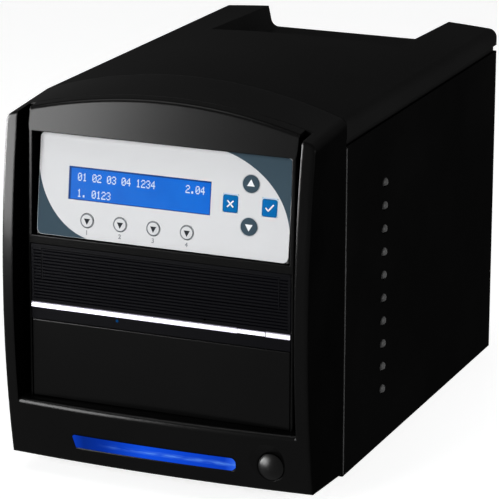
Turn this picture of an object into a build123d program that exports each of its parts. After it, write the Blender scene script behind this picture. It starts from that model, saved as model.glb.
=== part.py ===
from build123d import *
import math
import os

os.makedirs("parts", exist_ok=True)

# A free-standing disc duplicator tower: a bowed plastic bezel and an arched plastic lid on a
# folded steel case, with a tilted keypad panel, one tray drive, a covered spare bay behind
# which a hard drive sits, a mains supply and a fan.  Millimetres, +Z up, the front faces -Y.
# The origin lies on the floor under the middle of the machine.

# ---------------------------------------------------------------- driving sizes: case
drive_width = 148.0  # the drive's front, which the case is built round
drive_side = 13.0  # from the drive's side to the case's
case_width = drive_width + 2 * drive_side
panel_depth = 244.5  # side panels, from the bezel's joint to the rear
bezel_depth = 43.5  # from the drives' face to the bezel's joint
foot_height = 6.0
panel_height = 181.5
sheet = 1.0  # steel sheet of the case
bay_sheet = 1.0  # steel sheet of the drive bay
wall = 2.5  # plastic mouldings
inner_round = 0.8  # how much of the wall an inside corner takes off its radius
fit = 0.3  # gap round a piece that is set in from the front
run_gap = 0.05  # radial clearance of a turning or sliding pin
mesh_gap = 0.2  # play between rack and gear teeth
past = 1.0  # how far a cut runs past what it cuts
base_flange = 12.0
top_flange = 11.0
opening_rim = 4.0  # steel left round an opening
plate_drop = 14.0  # steel above the front plate's opening

# bezel: the front is a barrel face, bowed in side view and in plan
bow_radius = 500.0
bow_height = 104.0  # where the bow stands furthest forward
bow_proud = 9.4  # pillars ahead of the drives' face there
plan_bow = 4.5  # middle of the chin ahead of its ends
ledge_z = 44.0  # top of the chin
ledge_round = 3.0
bezel_floor_front = 10.6
bezel_floor_back = 8.0
frame_side = 1.6  # centre frame beyond the bay
groove_width = 4.0  # between a pillar and the centre frame
frame_round = 1.2
groove_depth = 14.0  # behind the drives' face
front_round = 2.0
boss_in = 8.0  # from the case's side to a boss
boss_low_z = 26.0
boss_high_z = 176.0
boss_screw = 9.0  # length of a screw in its boss
window_lip = 5.0
window_rim = 3.0

# crown: two arches, at the brow and at the joint with the lid, and a flatter one at the rear
eave_lift = 13.8  # joint's eave above the side panels
joint_rise = 15.5
ridge_setback = 8.4
ridge_rise = 12.2
ridge_drop = 2.5  # below the joint's eave
rear_rise = 3.8
rear_drop = 1.3
eave_round = 5.0
brow_round_edge = 2.5
lid_joint = 0.4
skirt_lift = 3.5  # lower edge of the lid above the side panels
skirt_inset = 1.5
skirt_cut = 10.0  # the lid's hollow runs on below its skirt
rim_width = 3.5

# scoop in the back of the lid
scoop_half = 54.5  # at its floor
scoop_draft = 2.5
scoop_lift = 2.5  # floor of the scoop above the side panels
scoop_start = 128.5  # behind the bezel's joint
scoop_flat = 48.0  # level floor, before the rear edge
scoop_round = 5.0

# bays
bay_play = 0.4  # beside the drive
sill_gap = 0.2  # between the drive and the sill
sill_height = 4.5
window_in = 1.0  # window's side inside the bay's
brow_lift = 2.1  # above the side panels
brow_setback = 2.5
brow_lean = 15.0  # degrees
shelf_lift = 6.0
drive_z = 87.6
drive_height = 41.3
blank_height = 43.0
blank_gap = 0.4  # below the drive
blank_thick = 3.0
blank_edge = 0.5
blank_tab = 2.0
blank_tab_in = 12.0
bay_length = 186.0
drive_screws_y = (52.0, 132.0)
drive_screws_z = 10.0  # above the drive's underside

# keypad panel, in its own leaning plane
panel_in = 1.9  # from the window's side
panel_under = 1.6  # panel's slope shorter than the window
panel_lean = 7.4
panel_setback = 2.2
panel_lift = 0.4
film = 0.5
film_corner = 3.0
carrier_thick = 2.0
lcd_left = 17.3  # from the panel's left side
lcd_right = 44.5
lcd_height = 17.7
lcd_y = 29.0
glass_border = 3.0
board_thick = 1.6
lcd_board_over = 4.0
lcd_plug_length = 30.0
lcd_plug_wide = 3.0
lcd_plug_deep = 2.5
keypad_post_r = 2.0
keypad_post_in = 2.5
key_travel = 0.4
key_proud = 0.3
key_gap = 0.15
key_thick = 1.7
round_key_r = 4.6
square_key_width = 8.6
square_key_height = 9.6
small_key_r = 3.9
cross_in = 22.5  # from the panel's right side to the cross of keys
cross_y = 27.8
cross_side = 10.9
cross_rise = 11.15
row_y = 9.8
row_pitch = 19.05
row_in = 28.9  # from the panel's left side to the first key of the row
switch_size = 6.0
switch_height = 3.5
switch_drop = 3.6  # from the carrier's face to the switch tops
stem_r = 1.5
stem_reach = 0.8
stem_gap = 0.1
stem_floor = 0.5  # what is left under a switch's bore
stem_play = 0.3  # left below a pressed stem

# chin fittings
light_in = 19.1  # from the button's middle to the light bar's end
light_shift = 1.0  # bar's middle left of the case's
light_height = 7.4
light_slant = 1.8
light_left_round = 0.8
light_right_round = 2.8
light_z = 23.7
light_proud = 0.6
button_in = 21.7  # from the case's side
button_z = 24.7
button_r = 7.2
button_gap = 0.25
button_travel = 2.5
dish_r = 9.4
dish_depth = 2.0
front_board_setback = 10.0
front_board_half = 6.0
front_board_over = 9.0  # beyond the light bar and the button
power_switch_half = 5.0
post_gap = 6.0
post_r = 2.5
button_rise = 0.6  # dome's edge behind the chin's face
button_dome = 3.2

# side vents
vent_count = 10
vent_r = 2.5
vent_pitch = 13.0
vent_setback = 102.0
vent_top_z = 153.7

# optical drive
fascia_thick = 4.0
shell_side = 1.0  # fascia wider than the shell, each side
door_in = 6.1  # from the fascia's side
shell_depth = 168.0
shell_wall = 0.8
door_z = 109.5
door_height = 17.0
door_gap = 0.25
rib_pitch = 1.75
rib_share = 0.4  # a groove, of the pitch
rib_depth = 0.35
strip_z = 94.0
strip_height = 3.1
strip_proud = 0.4
strip_deep = 1.5
rib_margin = 1.5
pinhole_x = 26.0
pinhole_rise = 5.0
pinhole_r = 0.6
eject_in = 21.5  # from the fascia's side
eject_half = 7.7
eject_travel = 0.8
eject_gap = 0.3
led_x = -24.2
led_z = 91.9
led_r = 0.8
led_proud = 0.1
tray_in = 8.6  # from the fascia's side
tray_thick = 7.0
tray_z = 115.0
tray_travel = 125.0
tray_stay = 25.0  # what is left in the drive with the tray out
disc_rim = 4.9  # tray beside the disc's recess
disc_depth = 1.3
spindle_setback = 66.0
slot_half = 18.0
hollow_r = 41.0  # second step of the tray, for small discs
hollow_depth = 2.5
guide_rise = 2.0
rail_gap = 0.3
deck_z = 94.5
deck_thick = 1.5
gear_module = 1.0
gear_teeth = 24
rack_in = 11.4  # from the tray's side to the rack's pitch line
gear_setback = 23.0
gear_z = 109.7
gear_thick = 4.8
rack_rib = 5.0  # behind the rack's pitch line
rack_lift = 0.1
rack_start = 6.0
tip_share = 0.9  # a tooth's tip, in modules
root_share = 1.25
root_sink = 0.3
pressure_angle = 20.0
rack_ahead = 3  # teeth in front of the gear's middle
motor_r = 10.0
spindle_motor_r = 12.0
table_r = 15.0
table_z = 117.9
hub_r = 7.4
hub_height = 4.0
rod_r = 1.5
rod_x = 24.0
rod_z = 107.5
sled_travel = 34.0
sled_length = 18.0
sled_height = 8.0
sled_over = 4.0  # sled beyond its rods
sled_setback = 26.0  # behind the spindle
lens_r = 5.0
lens_setback = 8.0
lens_rise = 1.5
rod_setback = 17.0
rod_spare = 7.0
rod_block = 4.0
rod_block_top = 2.0
motor_gap = 0.3
shaft_start = 4.0  # shafts' lower ends above the deck
table_thick = 2.4
hub_round = 2.0

# hard drive
disk_width = 101.6
disk_depth = 147.0
disk_height = 26.1
disk_z = 52.0
disk_setback = 22.0
disk_lid = 2.0  # raised lid of the hard drive
disk_lid_in = 4.0
disk_lid_end = 20.0
disk_hub_y = 62.0
disk_hub_r = 12.0
disk_hub_height = 0.6
bracket_lip = 14.0
disk_screws_y = (30.0, 118.0)
disk_screws_z = 6.0

# supply, inlet and rocker
supply_width = 125.0
supply_height = 63.5
supply_room = 144.5  # left in front of the supply, from the bezel's joint
supply_wall = 1.0
inlet_x = 42.0
inlet_z = 27.0
inlet_width = 27.0
inlet_height = 19.6
inlet_flange = 2.0
socket_width = 24.1
socket_height = 16.6
socket_depth = 16.0
socket_cut = 4.5
inlet_body = 20.0
inlet_lip = 2.0
pin_places = ((-7.0, -1.5), (7.0, -1.5), (0.0, 2.5))
pin_wide = 1.0  # half sizes of a pin
pin_tall = 2.0
pin_tail = 6.0
pin_sink = 3.0
switch_z = 52.0
rocker_width = 12.8
rocker_height = 19.0
rocker_wall = 1.5
rocker_tilt = 10.0
rocker_body = 14.0
rocker_floor = 2.0
rocker_end_gap = 0.9
rocker_lip = 1.0
rocker_low = 2.8  # outline of the rocker from its pivot: ends, tips, dip and back
rocker_tip = 5.6
rocker_tip_in = 0.4
rocker_dip = 4.2
rocker_back = -3.2
rocker_back_half = 2.5
rocker_flange = 1.5
pivot_setback = 4.0
pivot_r = 1.0
pivot_play = 0.2
pivot_sink = 0.5
small_fan_x = -24.0
small_fan_z = 38.5
small_fan = 60.0
small_fan_depth = 20.0
small_fan_pitch = 50.0
small_fan_lip = 3.0
slot_first = 22.0
slot_last = 60.0
slot_pitch = 14.0
slot_side = 4.0
slot_pairs = 3

# case fan
fan_size = 80.0
fan_depth = 25.0
fan_z = 125.0
fan_screw_pitch = 71.5
fan_screw_r = 2.0
fan_lip = 2.0
fan_corner_r = 3.0
fan_bore_wall = 1.5
fan_hub_share = 0.22
fan_arm_half = 1.5
fan_arm_deep = 3.0
fan_shaft = 4.0
blade_gap = 2.0
blade_lean = 40.0
blade_thick = 1.2
blade_count = 7
blade_margin = 8.0
hub_start = 1.5
hub_end = 3.5
hub_edge = 1.0
wire_r = 0.8
guard_stand = 1.6
guard_rings = (0.18, 0.42, 0.66, 0.9)  # radii as shares of the fan's half width
eye_wall = 3.5
fan_head_over = 1.4
fan_head_height = 1.8
fan_screw_length = 9.0
guard_bend = 0.9  # where the wires turn down, as a share of the screws' offset

# small parts
foot_r = 8.0
foot_in = 17.0  # from the case's side
foot_inset = 30.0  # from the base's ends
screw_r = 1.5
head_r = 2.8
head_height = 1.6
screw_gap = 0.2
screw_bite = 3.0  # thread inside what a side screw holds
head_lift = 0.4  # foot screws' heads above the floor
boss_r = 3.5
cable_r = 2.0
control_lift = 5.0
control_in = 20.0
control_half = 60.0
lead_plug_half = 8.0
lead_plug_side = 4.0
lead_plug_length = 8.0
plug_x = -40.0
plug_lift = 14.0  # lead's plug above the drive's underside
lead_out = 36.0  # the lead's way up behind the drive
lead_turn = 40.0
lead_rise = 38.0
lead_back = 30.0
lead_side = (2.0, 6.0)
lead_over = (14.0, 20.0)
lead_in = (-1.0, 4.0)
hole_past = 2.0  # a screw's hole runs past its end

# ---------------------------------------------------------------- planes worked out from them
half = case_width / 2
drive_half = drive_width / 2
drive_top = drive_z + drive_height
bay_half = drive_half + bay_play
window_half = bay_half - window_in
frame_half = bay_half + frame_side
groove_x = frame_half + groove_width
boss_x = half - boss_in
foot_x = half - foot_in
button_x = half - button_in
light_half = button_x - light_in + light_shift
light_left, light_right = -light_half - light_shift, light_half - light_shift
door_half = drive_half - door_in
eject_x = drive_half - eject_in
tray_half = drive_half - tray_in
disc_r = tray_half - disc_rim
inner = half - sheet
base_z = foot_height
floor_z = base_z + sheet
panel_top = base_z + panel_height
plate_z = panel_top - 2 * sheet  # underside of the top plate
joint_eave = panel_top + eave_lift
joint_apex = joint_eave + joint_rise
ridge_eave = joint_eave - ridge_drop
ridge_apex = ridge_eave + ridge_rise
rear_eave = joint_eave - rear_drop
rear_apex = rear_eave + rear_rise
skirt_z = panel_top + skirt_lift
scoop_floor_z = panel_top + scoop_lift
brow_z = panel_top + brow_lift
sill_z = drive_top + sill_gap
panel_width = 2 * (window_half - panel_in)
panel_height_slope = brow_z - sill_z - sill_height - panel_under
lcd_width = panel_width - lcd_left - lcd_right
lcd_x = (lcd_left - lcd_right) / 2
cross_x = panel_width / 2 - cross_in
row_first_x = -panel_width / 2 + row_in
guard_proud = guard_stand + 2 * wire_r


def bow_at(height, grow=0.0):
    """How far the bezel's face lies behind the drives' face at x = 0."""
    reach = bow_radius + grow
    return bow_radius - math.sqrt(reach**2 - (height - bow_height) ** 2) - bow_proud - plan_bow


front_proud = -bow_at(ledge_z - ledge_round)
overall_depth = front_proud + bezel_depth + panel_depth + guard_proud
face_y = front_proud - overall_depth / 2
joint_y = face_y + bezel_depth
rear_y = joint_y + panel_depth
plate_y = face_y + groove_depth  # front of the bezel's face plate
plate_back = plate_y + wall
inside_rear = rear_y - sheet
bay_floor_z = ledge_z
shelf_z = sill_z + sill_height + shelf_lift  # underside of the shelf over the drives

# ---------------------------------------------------------------- helpers
TURN = {"X": (0, 90, 0), "Y": (90, 0, 0), "Z": (0, 0, 0)}


def slab(x, y, z, mode=Mode.ADD):
    """A block between pairs of coordinates."""
    with Locations((sum(x) / 2, sum(y) / 2, sum(z) / 2)):
        Box(x[1] - x[0], y[1] - y[0], z[1] - z[0], mode=mode)


def rod(axis, place, radius, span, mode=Mode.ADD):
    """A round bar along an axis; place holds its two other coordinates in X, Y, Z order."""
    middle = sum(span) / 2
    at = {
        "X": (middle, *place),
        "Y": (place[0], middle, place[1]),
        "Z": (*place, middle),
    }[axis]
    with Locations(at):
        Cylinder(radius, span[1] - span[0], rotation=TURN[axis], mode=mode)


def finish(part, name):
    part.label = name
    export_step(part, f"parts/{name}.step")


def barrel(grow):
    """Everything behind the bezel's bowed face, with that face moved forward by grow."""
    low, high, back = -bezel_depth, joint_apex + bezel_depth, joint_y + bezel_depth
    plan_radius = (half**2 + plan_bow**2) / (2 * plan_bow)
    turn_y = face_y - bow_proud - plan_bow + plan_radius
    with BuildPart() as body:
        with BuildSketch(Plane.YZ):
            with BuildLine():
                ThreePointArc(
                    (face_y + bow_at(low, grow), low),
                    (face_y + bow_at(bow_height, grow), bow_height),
                    (face_y + bow_at(high, grow), high),
                )
                Polyline(
                    (face_y + bow_at(high, grow), high),
                    (back, high),
                    (back, low),
                    (face_y + bow_at(low, grow), low),
                )
            make_face()
        revolve(axis=Axis((0, turn_y, 0), (0, 0, 1)))
    return body.part


def crown(stations, inset):
    """A tunnel with an arched roof through stations (y, floor, eave, apex, edge radius)."""
    with BuildPart() as body:
        for y, floor, eave, apex, edge in stations:
            rise = apex - eave
            radius = (half**2 + rise**2) / (2 * rise)
            side = half - inset
            top = apex - inset
            shoulder = apex - radius + math.sqrt((radius - inset) ** 2 - side**2)
            with BuildSketch(Plane.XZ.offset(-y)) as section:
                with BuildLine():
                    Polyline(
                        (-side, shoulder),
                        (-side, floor + inset),
                        (side, floor + inset),
                        (side, shoulder),
                    )
                    ThreePointArc((side, shoulder), (0, top), (-side, shoulder))
                make_face()
                fillet(section.vertices().group_by(Axis.Y)[-1], edge - inset * inner_round)
        loft(ruled=True)
    return body.part


def bezel_station(y):
    """The bezel's tunnel section at y, on straight lines from brow to joint."""
    part_way = (y - joint_y) / (face_y + ridge_setback - joint_y)
    fall = (y - joint_y) / (face_y - joint_y)
    return (
        y,
        bezel_floor_back + fall * (bezel_floor_front - bezel_floor_back),
        joint_eave + part_way * (ridge_eave - joint_eave),
        joint_apex + part_way * (ridge_apex - joint_apex),
        eave_round,
    )


bezel_front_y = face_y - bow_proud - plan_bow - wall
bezel_block = crown([bezel_station(bezel_front_y), bezel_station(joint_y)], 0.0)

# ---------------------------------------------------------------- steel case
foot_places = [
    (x, y)
    for x in (-foot_x, foot_x)
    for y in (joint_y + foot_inset, rear_y - foot_inset)
]

with BuildPart() as base_pan:
    slab((-inner, inner), (joint_y, rear_y), (base_z, floor_z))
    for side in (-1, 1):
        edges_x = sorted((side * inner, side * (inner - sheet)))
        slab(edges_x, (joint_y + sheet, inside_rear), (floor_z, floor_z + base_flange))
    for x, y in foot_places:
        rod("Z", (x, y), screw_r + run_gap, (base_z - past, floor_z + past), Mode.SUBTRACT)
finish(base_pan.part, "base_pan")

boss_places = [(x, z) for x in (-boss_x, boss_x) for z in (boss_low_z, boss_high_z)]
front_window_low = bay_floor_z - opening_rim
with BuildPart() as front_plate:
    slab((-inner, inner), (joint_y, joint_y + sheet), (floor_z, plate_z))
    slab(
        (-bay_half - bay_sheet - fit, bay_half + bay_sheet + fit),
        (joint_y - past, joint_y + sheet + past),
        (front_window_low, plate_z - plate_drop),
        Mode.SUBTRACT,
    )
    for x, z in boss_places:
        rod("Y", (x, z), screw_r + run_gap, (joint_y - past, joint_y + sheet + past), Mode.SUBTRACT)
finish(front_plate.part, "front_plate")

fan_hole_r = fan_size / 2 - fan_lip
fan_corners = [
    (x * fan_screw_pitch / 2, fan_z + z * fan_screw_pitch / 2)
    for x in (-1, 1)
    for z in (-1, 1)
]
supply_depth = panel_depth - supply_room
supply_front = inside_rear - supply_depth
supply_top = floor_z + supply_height
with BuildPart() as rear_panel:
    slab((-inner, inner), (inside_rear, rear_y), (floor_z, plate_z))
    slab(
        (-supply_width / 2 + opening_rim, supply_width / 2 - opening_rim),
        (inside_rear - past, rear_y + past),
        (floor_z + opening_rim, supply_top - opening_rim),
        Mode.SUBTRACT,
    )
    rod("Y", (0, fan_z), fan_hole_r, (inside_rear - past, rear_y + past), Mode.SUBTRACT)
    for x, z in fan_corners:
        rod("Y", (x, z), fan_screw_r + run_gap, (inside_rear - past, rear_y + past), Mode.SUBTRACT)
finish(rear_panel.part, "rear_panel")

with BuildPart() as top_plate:
    slab((-inner, inner), (joint_y, rear_y), (plate_z, plate_z + sheet))
finish(top_plate.part, "top_plate")

vent_y = face_y + vent_setback
vent_heights = [vent_top_z - n * vent_pitch for n in range(vent_count)]
for name, side in (("left_side_panel", -1), ("right_side_panel", 1)):
    with BuildPart() as side_panel:
        slab(sorted((side * inner, side * half)), (joint_y, rear_y), (base_z, panel_top))
        slab(
            sorted((side * (half - top_flange), side * half)),
            (joint_y, rear_y),
            (panel_top - sheet, panel_top),
        )
        for z in vent_heights:
            through = sorted((side * (half + past), side * (inner - past)))
            rod("X", (vent_y, z), vent_r, through, Mode.SUBTRACT)
    finish(side_panel.part, name)

with BuildPart() as feet:
    for x, y in foot_places:
        with Locations((x, y, base_z / 2)):
            Cone(foot_r - 1.0, foot_r, base_z)
        rod("Z", (x, y), head_r + run_gap, (-past, head_height), Mode.SUBTRACT)
        rod("Z", (x, y), screw_r + run_gap, (-past, base_z + past), Mode.SUBTRACT)
finish(feet.part, "feet")

# ---------------------------------------------------------------- lid
lid_front_y = joint_y + lid_joint


def lid_station(y, floor):
    """The lid's tunnel section at y, on straight lines from the joint to the rear."""
    part_way = (y - joint_y) / panel_depth
    return (
        y,
        floor,
        joint_eave + part_way * (rear_eave - joint_eave),
        joint_apex + part_way * (rear_apex - joint_apex),
        eave_round,
    )


def scoop(grow):
    """The hollow at the back of the lid, grown on every side by grow."""
    high = joint_apex + eave_lift
    start_y = joint_y + scoop_start
    flat_y = rear_y - scoop_flat
    slope = math.atan2(joint_apex - scoop_floor_z, flat_y - start_y)
    low = scoop_floor_z - grow
    lean = grow / math.tan((math.pi - slope) / 2)
    rise = (high - low) / math.tan(slope)
    with BuildPart() as hollow:
        with BuildSketch(Plane.YZ) as side_view:
            with BuildLine():
                Polyline(
                    (flat_y - lean - rise, high),
                    (flat_y - lean, low),
                    (rear_y + eave_lift, low),
                    (rear_y + eave_lift, high),
                    close=True,
                )
            make_face()
        extrude(amount=half, both=True)
        with BuildSketch(Plane.XZ.offset(-rear_y - eave_lift)) as end_view:
            spread = scoop_draft / (joint_eave - scoop_floor_z)
            foot = scoop_half + grow
            with BuildLine():
                Polyline(
                    (-foot, low),
                    (foot, low),
                    (foot + spread * (high - low), high),
                    (-foot - spread * (high - low), high),
                    close=True,
                )
            make_face()
            fillet(end_view.vertices().group_by(Axis.Y)[0], scoop_round + grow)
        extrude(amount=panel_depth, mode=Mode.INTERSECT)
    return hollow.part


with BuildPart() as lid_hollow:
    add(
        crown(
            [
                lid_station(lid_front_y + wall, skirt_z - skirt_cut),
                lid_station(rear_y - wall, skirt_z - skirt_cut),
            ],
            wall,
        )
    )
    add(scoop(wall), mode=Mode.SUBTRACT)

with BuildPart() as scoop_skin:
    add(
        crown(
            [
                lid_station(lid_front_y, skirt_z - skirt_cut),
                lid_station(rear_y, skirt_z - skirt_cut),
            ],
            0.0,
        )
    )
    add(scoop(wall), mode=Mode.INTERSECT)
    add(scoop(0.0), mode=Mode.SUBTRACT)

with BuildPart() as lid:
    add(crown([lid_station(lid_front_y, skirt_z), lid_station(rear_y, skirt_z)], 0.0))
    add(lid_hollow.part, mode=Mode.SUBTRACT)
    rim_x = half - skirt_inset
    rim_y = (lid_front_y + skirt_inset, rear_y - skirt_inset)
    slab((-rim_x, rim_x), rim_y, (panel_top, skirt_z + skirt_inset))
    slab(
        (-rim_x + rim_width, rim_x - rim_width),
        (rim_y[0] + rim_width, rim_y[1] - rim_width),
        (panel_top - past, skirt_z + skirt_inset + past),
        Mode.SUBTRACT,
    )
    add(scoop(0.0), mode=Mode.SUBTRACT)
    add(scoop_skin.part)
finish(lid.part, "lid")

# ---------------------------------------------------------------- bezel
button_at = (button_x, button_z)
dish_ball = (dish_r**2 + dish_depth**2) / (2 * dish_depth)
plan_radius = (half**2 + plan_bow**2) / (2 * plan_bow)


def face_at(x, height):
    """The y of the bezel's bowed face at a place on it."""
    reach = plan_radius - (bow_at(height) + bow_proud + plan_bow)
    return face_y - bow_proud - plan_bow + plan_radius - math.sqrt(reach**2 - x**2)


button_face = face_at(*button_at)


def light_outline(grow):
    """The light bar's outline: its left end slants and its right corners are rounder."""
    rise = light_height / 2 + grow
    with BuildSketch(Plane.XZ.offset(-face_y - front_board_setback)) as outline:
        with BuildLine():
            Polyline(
                (light_left - grow, light_z + rise),
                (light_left - grow + light_slant, light_z - rise),
                (light_right + grow, light_z - rise),
                (light_right + grow, light_z + rise),
                close=True,
            )
        make_face()
        fillet(outline.vertices().sort_by(Axis.X)[:2], light_left_round + grow)
        fillet(outline.vertices().sort_by(Axis.X)[-2:], light_right_round + grow)
    return outline.sketch


with BuildPart() as chin_hollow:
    add(crown([bezel_station(bezel_front_y), bezel_station(plate_back + past)], wall))
    slab(
        (-half, half),
        (bezel_front_y - past, plate_back + past),
        (0, ledge_z - wall),
        Mode.INTERSECT,
    )
    add(barrel(-wall), mode=Mode.INTERSECT)

with BuildPart() as front_bezel:
    add(bezel_block)
    add(barrel(0.0), mode=Mode.INTERSECT)
    fillet(front_bezel.faces().sort_by(Axis.Y)[0].edges(), front_round)
    add(crown([bezel_station(plate_back), bezel_station(joint_y + past)], wall), mode=Mode.SUBTRACT)
    add(chin_hollow.part, mode=Mode.SUBTRACT)
    slab(
        (-groove_x, groove_x),
        (bezel_front_y - past, plate_y),
        (ledge_z, joint_apex + past),
        Mode.SUBTRACT,
    )
    ledge_edges = (
        front_bezel.edges()
        .filter_by(lambda e: abs(e.center().Z - ledge_z) < 0.01 and e.center().Y < face_y)
        .filter_by(lambda e: e.length > groove_x)
    )
    fillet(ledge_edges, ledge_round)
    # drive window and display window in the face plate
    slab(
        (-bay_half, bay_half),
        (plate_y - past, plate_back + past),
        (ledge_z, sill_z),
        Mode.SUBTRACT,
    )
    slab(
        (-window_half + window_lip, window_half - window_lip),
        (plate_y - past, plate_back + past),
        (sill_z + sill_height + window_rim, brow_z - window_rim),
        Mode.SUBTRACT,
    )
    # light bar slot and the dished hole of the power button
    extrude(light_outline(0.0), amount=bezel_depth, mode=Mode.SUBTRACT)
    with Locations((button_x, button_face + dish_depth - dish_ball, button_z)):
        Sphere(dish_ball, mode=Mode.SUBTRACT)
    rod(
        "Y",
        button_at,
        button_r + button_gap,
        (bezel_front_y - past, face_y + front_board_setback - past),
        Mode.SUBTRACT,
    )
    for x, z in boss_places:
        boss_start = face_at(x, z) + wall if z < ledge_z else plate_back - past
        rod("Y", (x, z), boss_r, (boss_start, joint_y))
        rod("Y", (x, z), screw_r, (joint_y - boss_screw, joint_y + past), Mode.SUBTRACT)
    for x in (light_left - post_gap, light_right + post_gap):
        post_span = (face_at(x, light_z) + wall - fit, face_y + front_board_setback)
        rod("Y", (x, light_z), post_r, post_span)
finish(front_bezel.part, "front_bezel")

# centre frame: brow, side rails and the sill between display and drive
with BuildPart() as centre_frame:
    brow_top = joint_apex + past
    with BuildSketch(Plane.YZ):
        with BuildLine():
            Polyline(
                (face_y, ledge_z),
                (face_y, sill_z + sill_height),
                (face_y + brow_setback, brow_z),
                (
                    face_y + brow_setback + (brow_top - brow_z) * math.tan(math.radians(brow_lean)),
                    brow_top,
                ),
                (plate_y, brow_top),
                (plate_y, ledge_z),
                close=True,
            )
        make_face()
    extrude(amount=frame_half, both=True)
    add(bezel_block, mode=Mode.INTERSECT)
    ridge = centre_frame.edges().filter_by(
        lambda e: e.center().Z > joint_eave and e.center().Y < plate_y - past and e.length > frame_half
    )
    fillet(ridge, brow_round_edge)
    side_edges = centre_frame.edges().filter_by(
        lambda e: abs(abs(e.center().X) - frame_half) < 0.01 and e.center().Z < brow_z
    )
    fillet(side_edges.filter_by(lambda e: e.center().Y < plate_y - wall), frame_round)
    slab(
        (-window_half, window_half),
        (face_y - past, plate_y + past),
        (sill_z + sill_height, brow_z),
        Mode.SUBTRACT,
    )
    slab((-bay_half, bay_half), (face_y - past, plate_y + past), (ledge_z - past, sill_z), Mode.SUBTRACT)
finish(centre_frame.part, "centre_frame")

# ---------------------------------------------------------------- keypad panel, leaning back
lean = math.radians(panel_lean)
panel_origin = (0, face_y + panel_setback, sill_z + sill_height + panel_lift)
panel = Plane(origin=panel_origin, x_dir=(1, 0, 0), z_dir=(0, -math.cos(lean), math.sin(lean)))
keys = {
    "up_key": ("round", cross_x, cross_y + cross_rise),
    "down_key": ("round", cross_x, cross_y - cross_rise),
    "cancel_key": ("square", cross_x - cross_side, cross_y),
    "enter_key": ("square", cross_x + cross_side, cross_y),
}
for n in range(4):
    keys[f"row_key_{n + 1}"] = ("small", row_first_x + n * row_pitch, row_y)
key_radius = {"round": round_key_r, "small": small_key_r}


def key_shape(kind, x, y, grow, span, mode=Mode.ADD):
    """A key's plan, drawn through a span of the panel's depth."""
    if kind == "square":
        wide, tall = square_key_width / 2 + grow, square_key_height / 2 + grow
        slab((x - wide, x + wide), (y - tall, y + tall), span, mode)
    else:
        rod("Z", (x, y), key_radius[kind] + grow, span, mode)


carrier_back = -film - carrier_thick
switch_top = -film - switch_drop
switch_base = switch_top - switch_height
glass_half = lcd_width / 2 + glass_border
glass_rise = lcd_height / 2 + glass_border
panel_half = panel_width / 2
lcd_span_x = (lcd_x - lcd_width / 2, lcd_x + lcd_width / 2)
lcd_span_y = (lcd_y - lcd_height / 2, lcd_y + lcd_height / 2)
glass_span_x = (lcd_x - glass_half, lcd_x + glass_half)
glass_span_y = (lcd_y - glass_rise, lcd_y + glass_rise)
key_board_x = (row_first_x - 2 * switch_size, cross_x + 3 * switch_size)
key_board_y = (row_y - switch_size, cross_y + cross_rise + switch_size + 2.0)
key_board_step_x = cross_x - cross_side - switch_size
key_board_step_y = row_y + switch_size / 2 + 0.5
key_board_posts = [
    (key_board_x[1] - keypad_post_in, row_y),
    (key_board_x[1] - keypad_post_in, key_board_y[1] - keypad_post_in),
    (key_board_x[0] + keypad_post_in, row_y),
]

with BuildPart(panel) as keypad_film:
    slab((-panel_half, panel_half), (0, panel_height_slope), (-film, 0))
    fillet(keypad_film.edges().filter_by(Axis(panel.origin, panel.z_dir)), film_corner)
    slab(lcd_span_x, lcd_span_y, (-2 * film, past), Mode.SUBTRACT)
    for kind, x, y in keys.values():
        key_shape(kind, x, y, key_gap, (-2 * film, past), Mode.SUBTRACT)
finish(keypad_film.part, "keypad_film")

with BuildPart(panel) as lcd_window:
    slab(lcd_span_x, lcd_span_y, (-film, 0))
finish(lcd_window.part, "lcd_window")

with BuildPart(panel) as keypad_carrier:
    slab((-panel_half, panel_half), (0, panel_height_slope), (carrier_back, -film))
    slab(glass_span_x, glass_span_y, (carrier_back - past, 0), Mode.SUBTRACT)
    for kind, x, y in keys.values():
        key_shape(kind, x, y, key_gap, (carrier_back - past, 0), Mode.SUBTRACT)
    for x, y in key_board_posts:
        rod("Z", (x, y), keypad_post_r, (switch_base, carrier_back))
    # cheeks that fill the wedge back to the face plate
    for side in (-1, 1):
        slab(
            sorted((side * (window_half - window_lip), side * panel_half)),
            (groove_depth * math.tan(lean), panel_height_slope),
            (-2 * groove_depth, carrier_back),
        )
    split(bisect_by=Plane(origin=(0, plate_y, 0), z_dir=(0, 1, 0)), keep=Keep.BOTTOM)
finish(keypad_carrier.part, "keypad_carrier")

with BuildPart(panel) as lcd_glass:
    slab(
        (glass_span_x[0] + key_gap, glass_span_x[1] - key_gap),
        (glass_span_y[0] + key_gap, glass_span_y[1] - key_gap),
        (carrier_back, -film),
    )
finish(lcd_glass.part, "lcd_glass")

with BuildPart(panel) as lcd_board:
    slab(
        (glass_span_x[0] - lcd_board_over, glass_span_x[1] + lcd_board_over / 2),
        (glass_span_y[0] - lcd_board_over / 2, glass_span_y[1] + lcd_board_over),
        (carrier_back - board_thick, carrier_back),
    )
    slab(
        (glass_span_x[0], glass_span_x[0] + lcd_plug_length),
        (glass_span_y[1], glass_span_y[1] + lcd_plug_wide),
        (carrier_back - board_thick - lcd_plug_deep, carrier_back - board_thick),
    )
finish(lcd_board.part, "lcd_board")

with BuildPart(panel) as key_switches:
    for kind, x, y in keys.values():
        slab(
            (x - switch_size / 2, x + switch_size / 2),
            (y - switch_size / 2, y + switch_size / 2),
            (switch_base, switch_top),
        )
        rod(
            "Z",
            (x, y),
            stem_r + stem_gap,
            (switch_top - stem_reach - key_travel - stem_play, switch_top + past),
            Mode.SUBTRACT,
        )
finish(key_switches.part, "key_switches")

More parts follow.
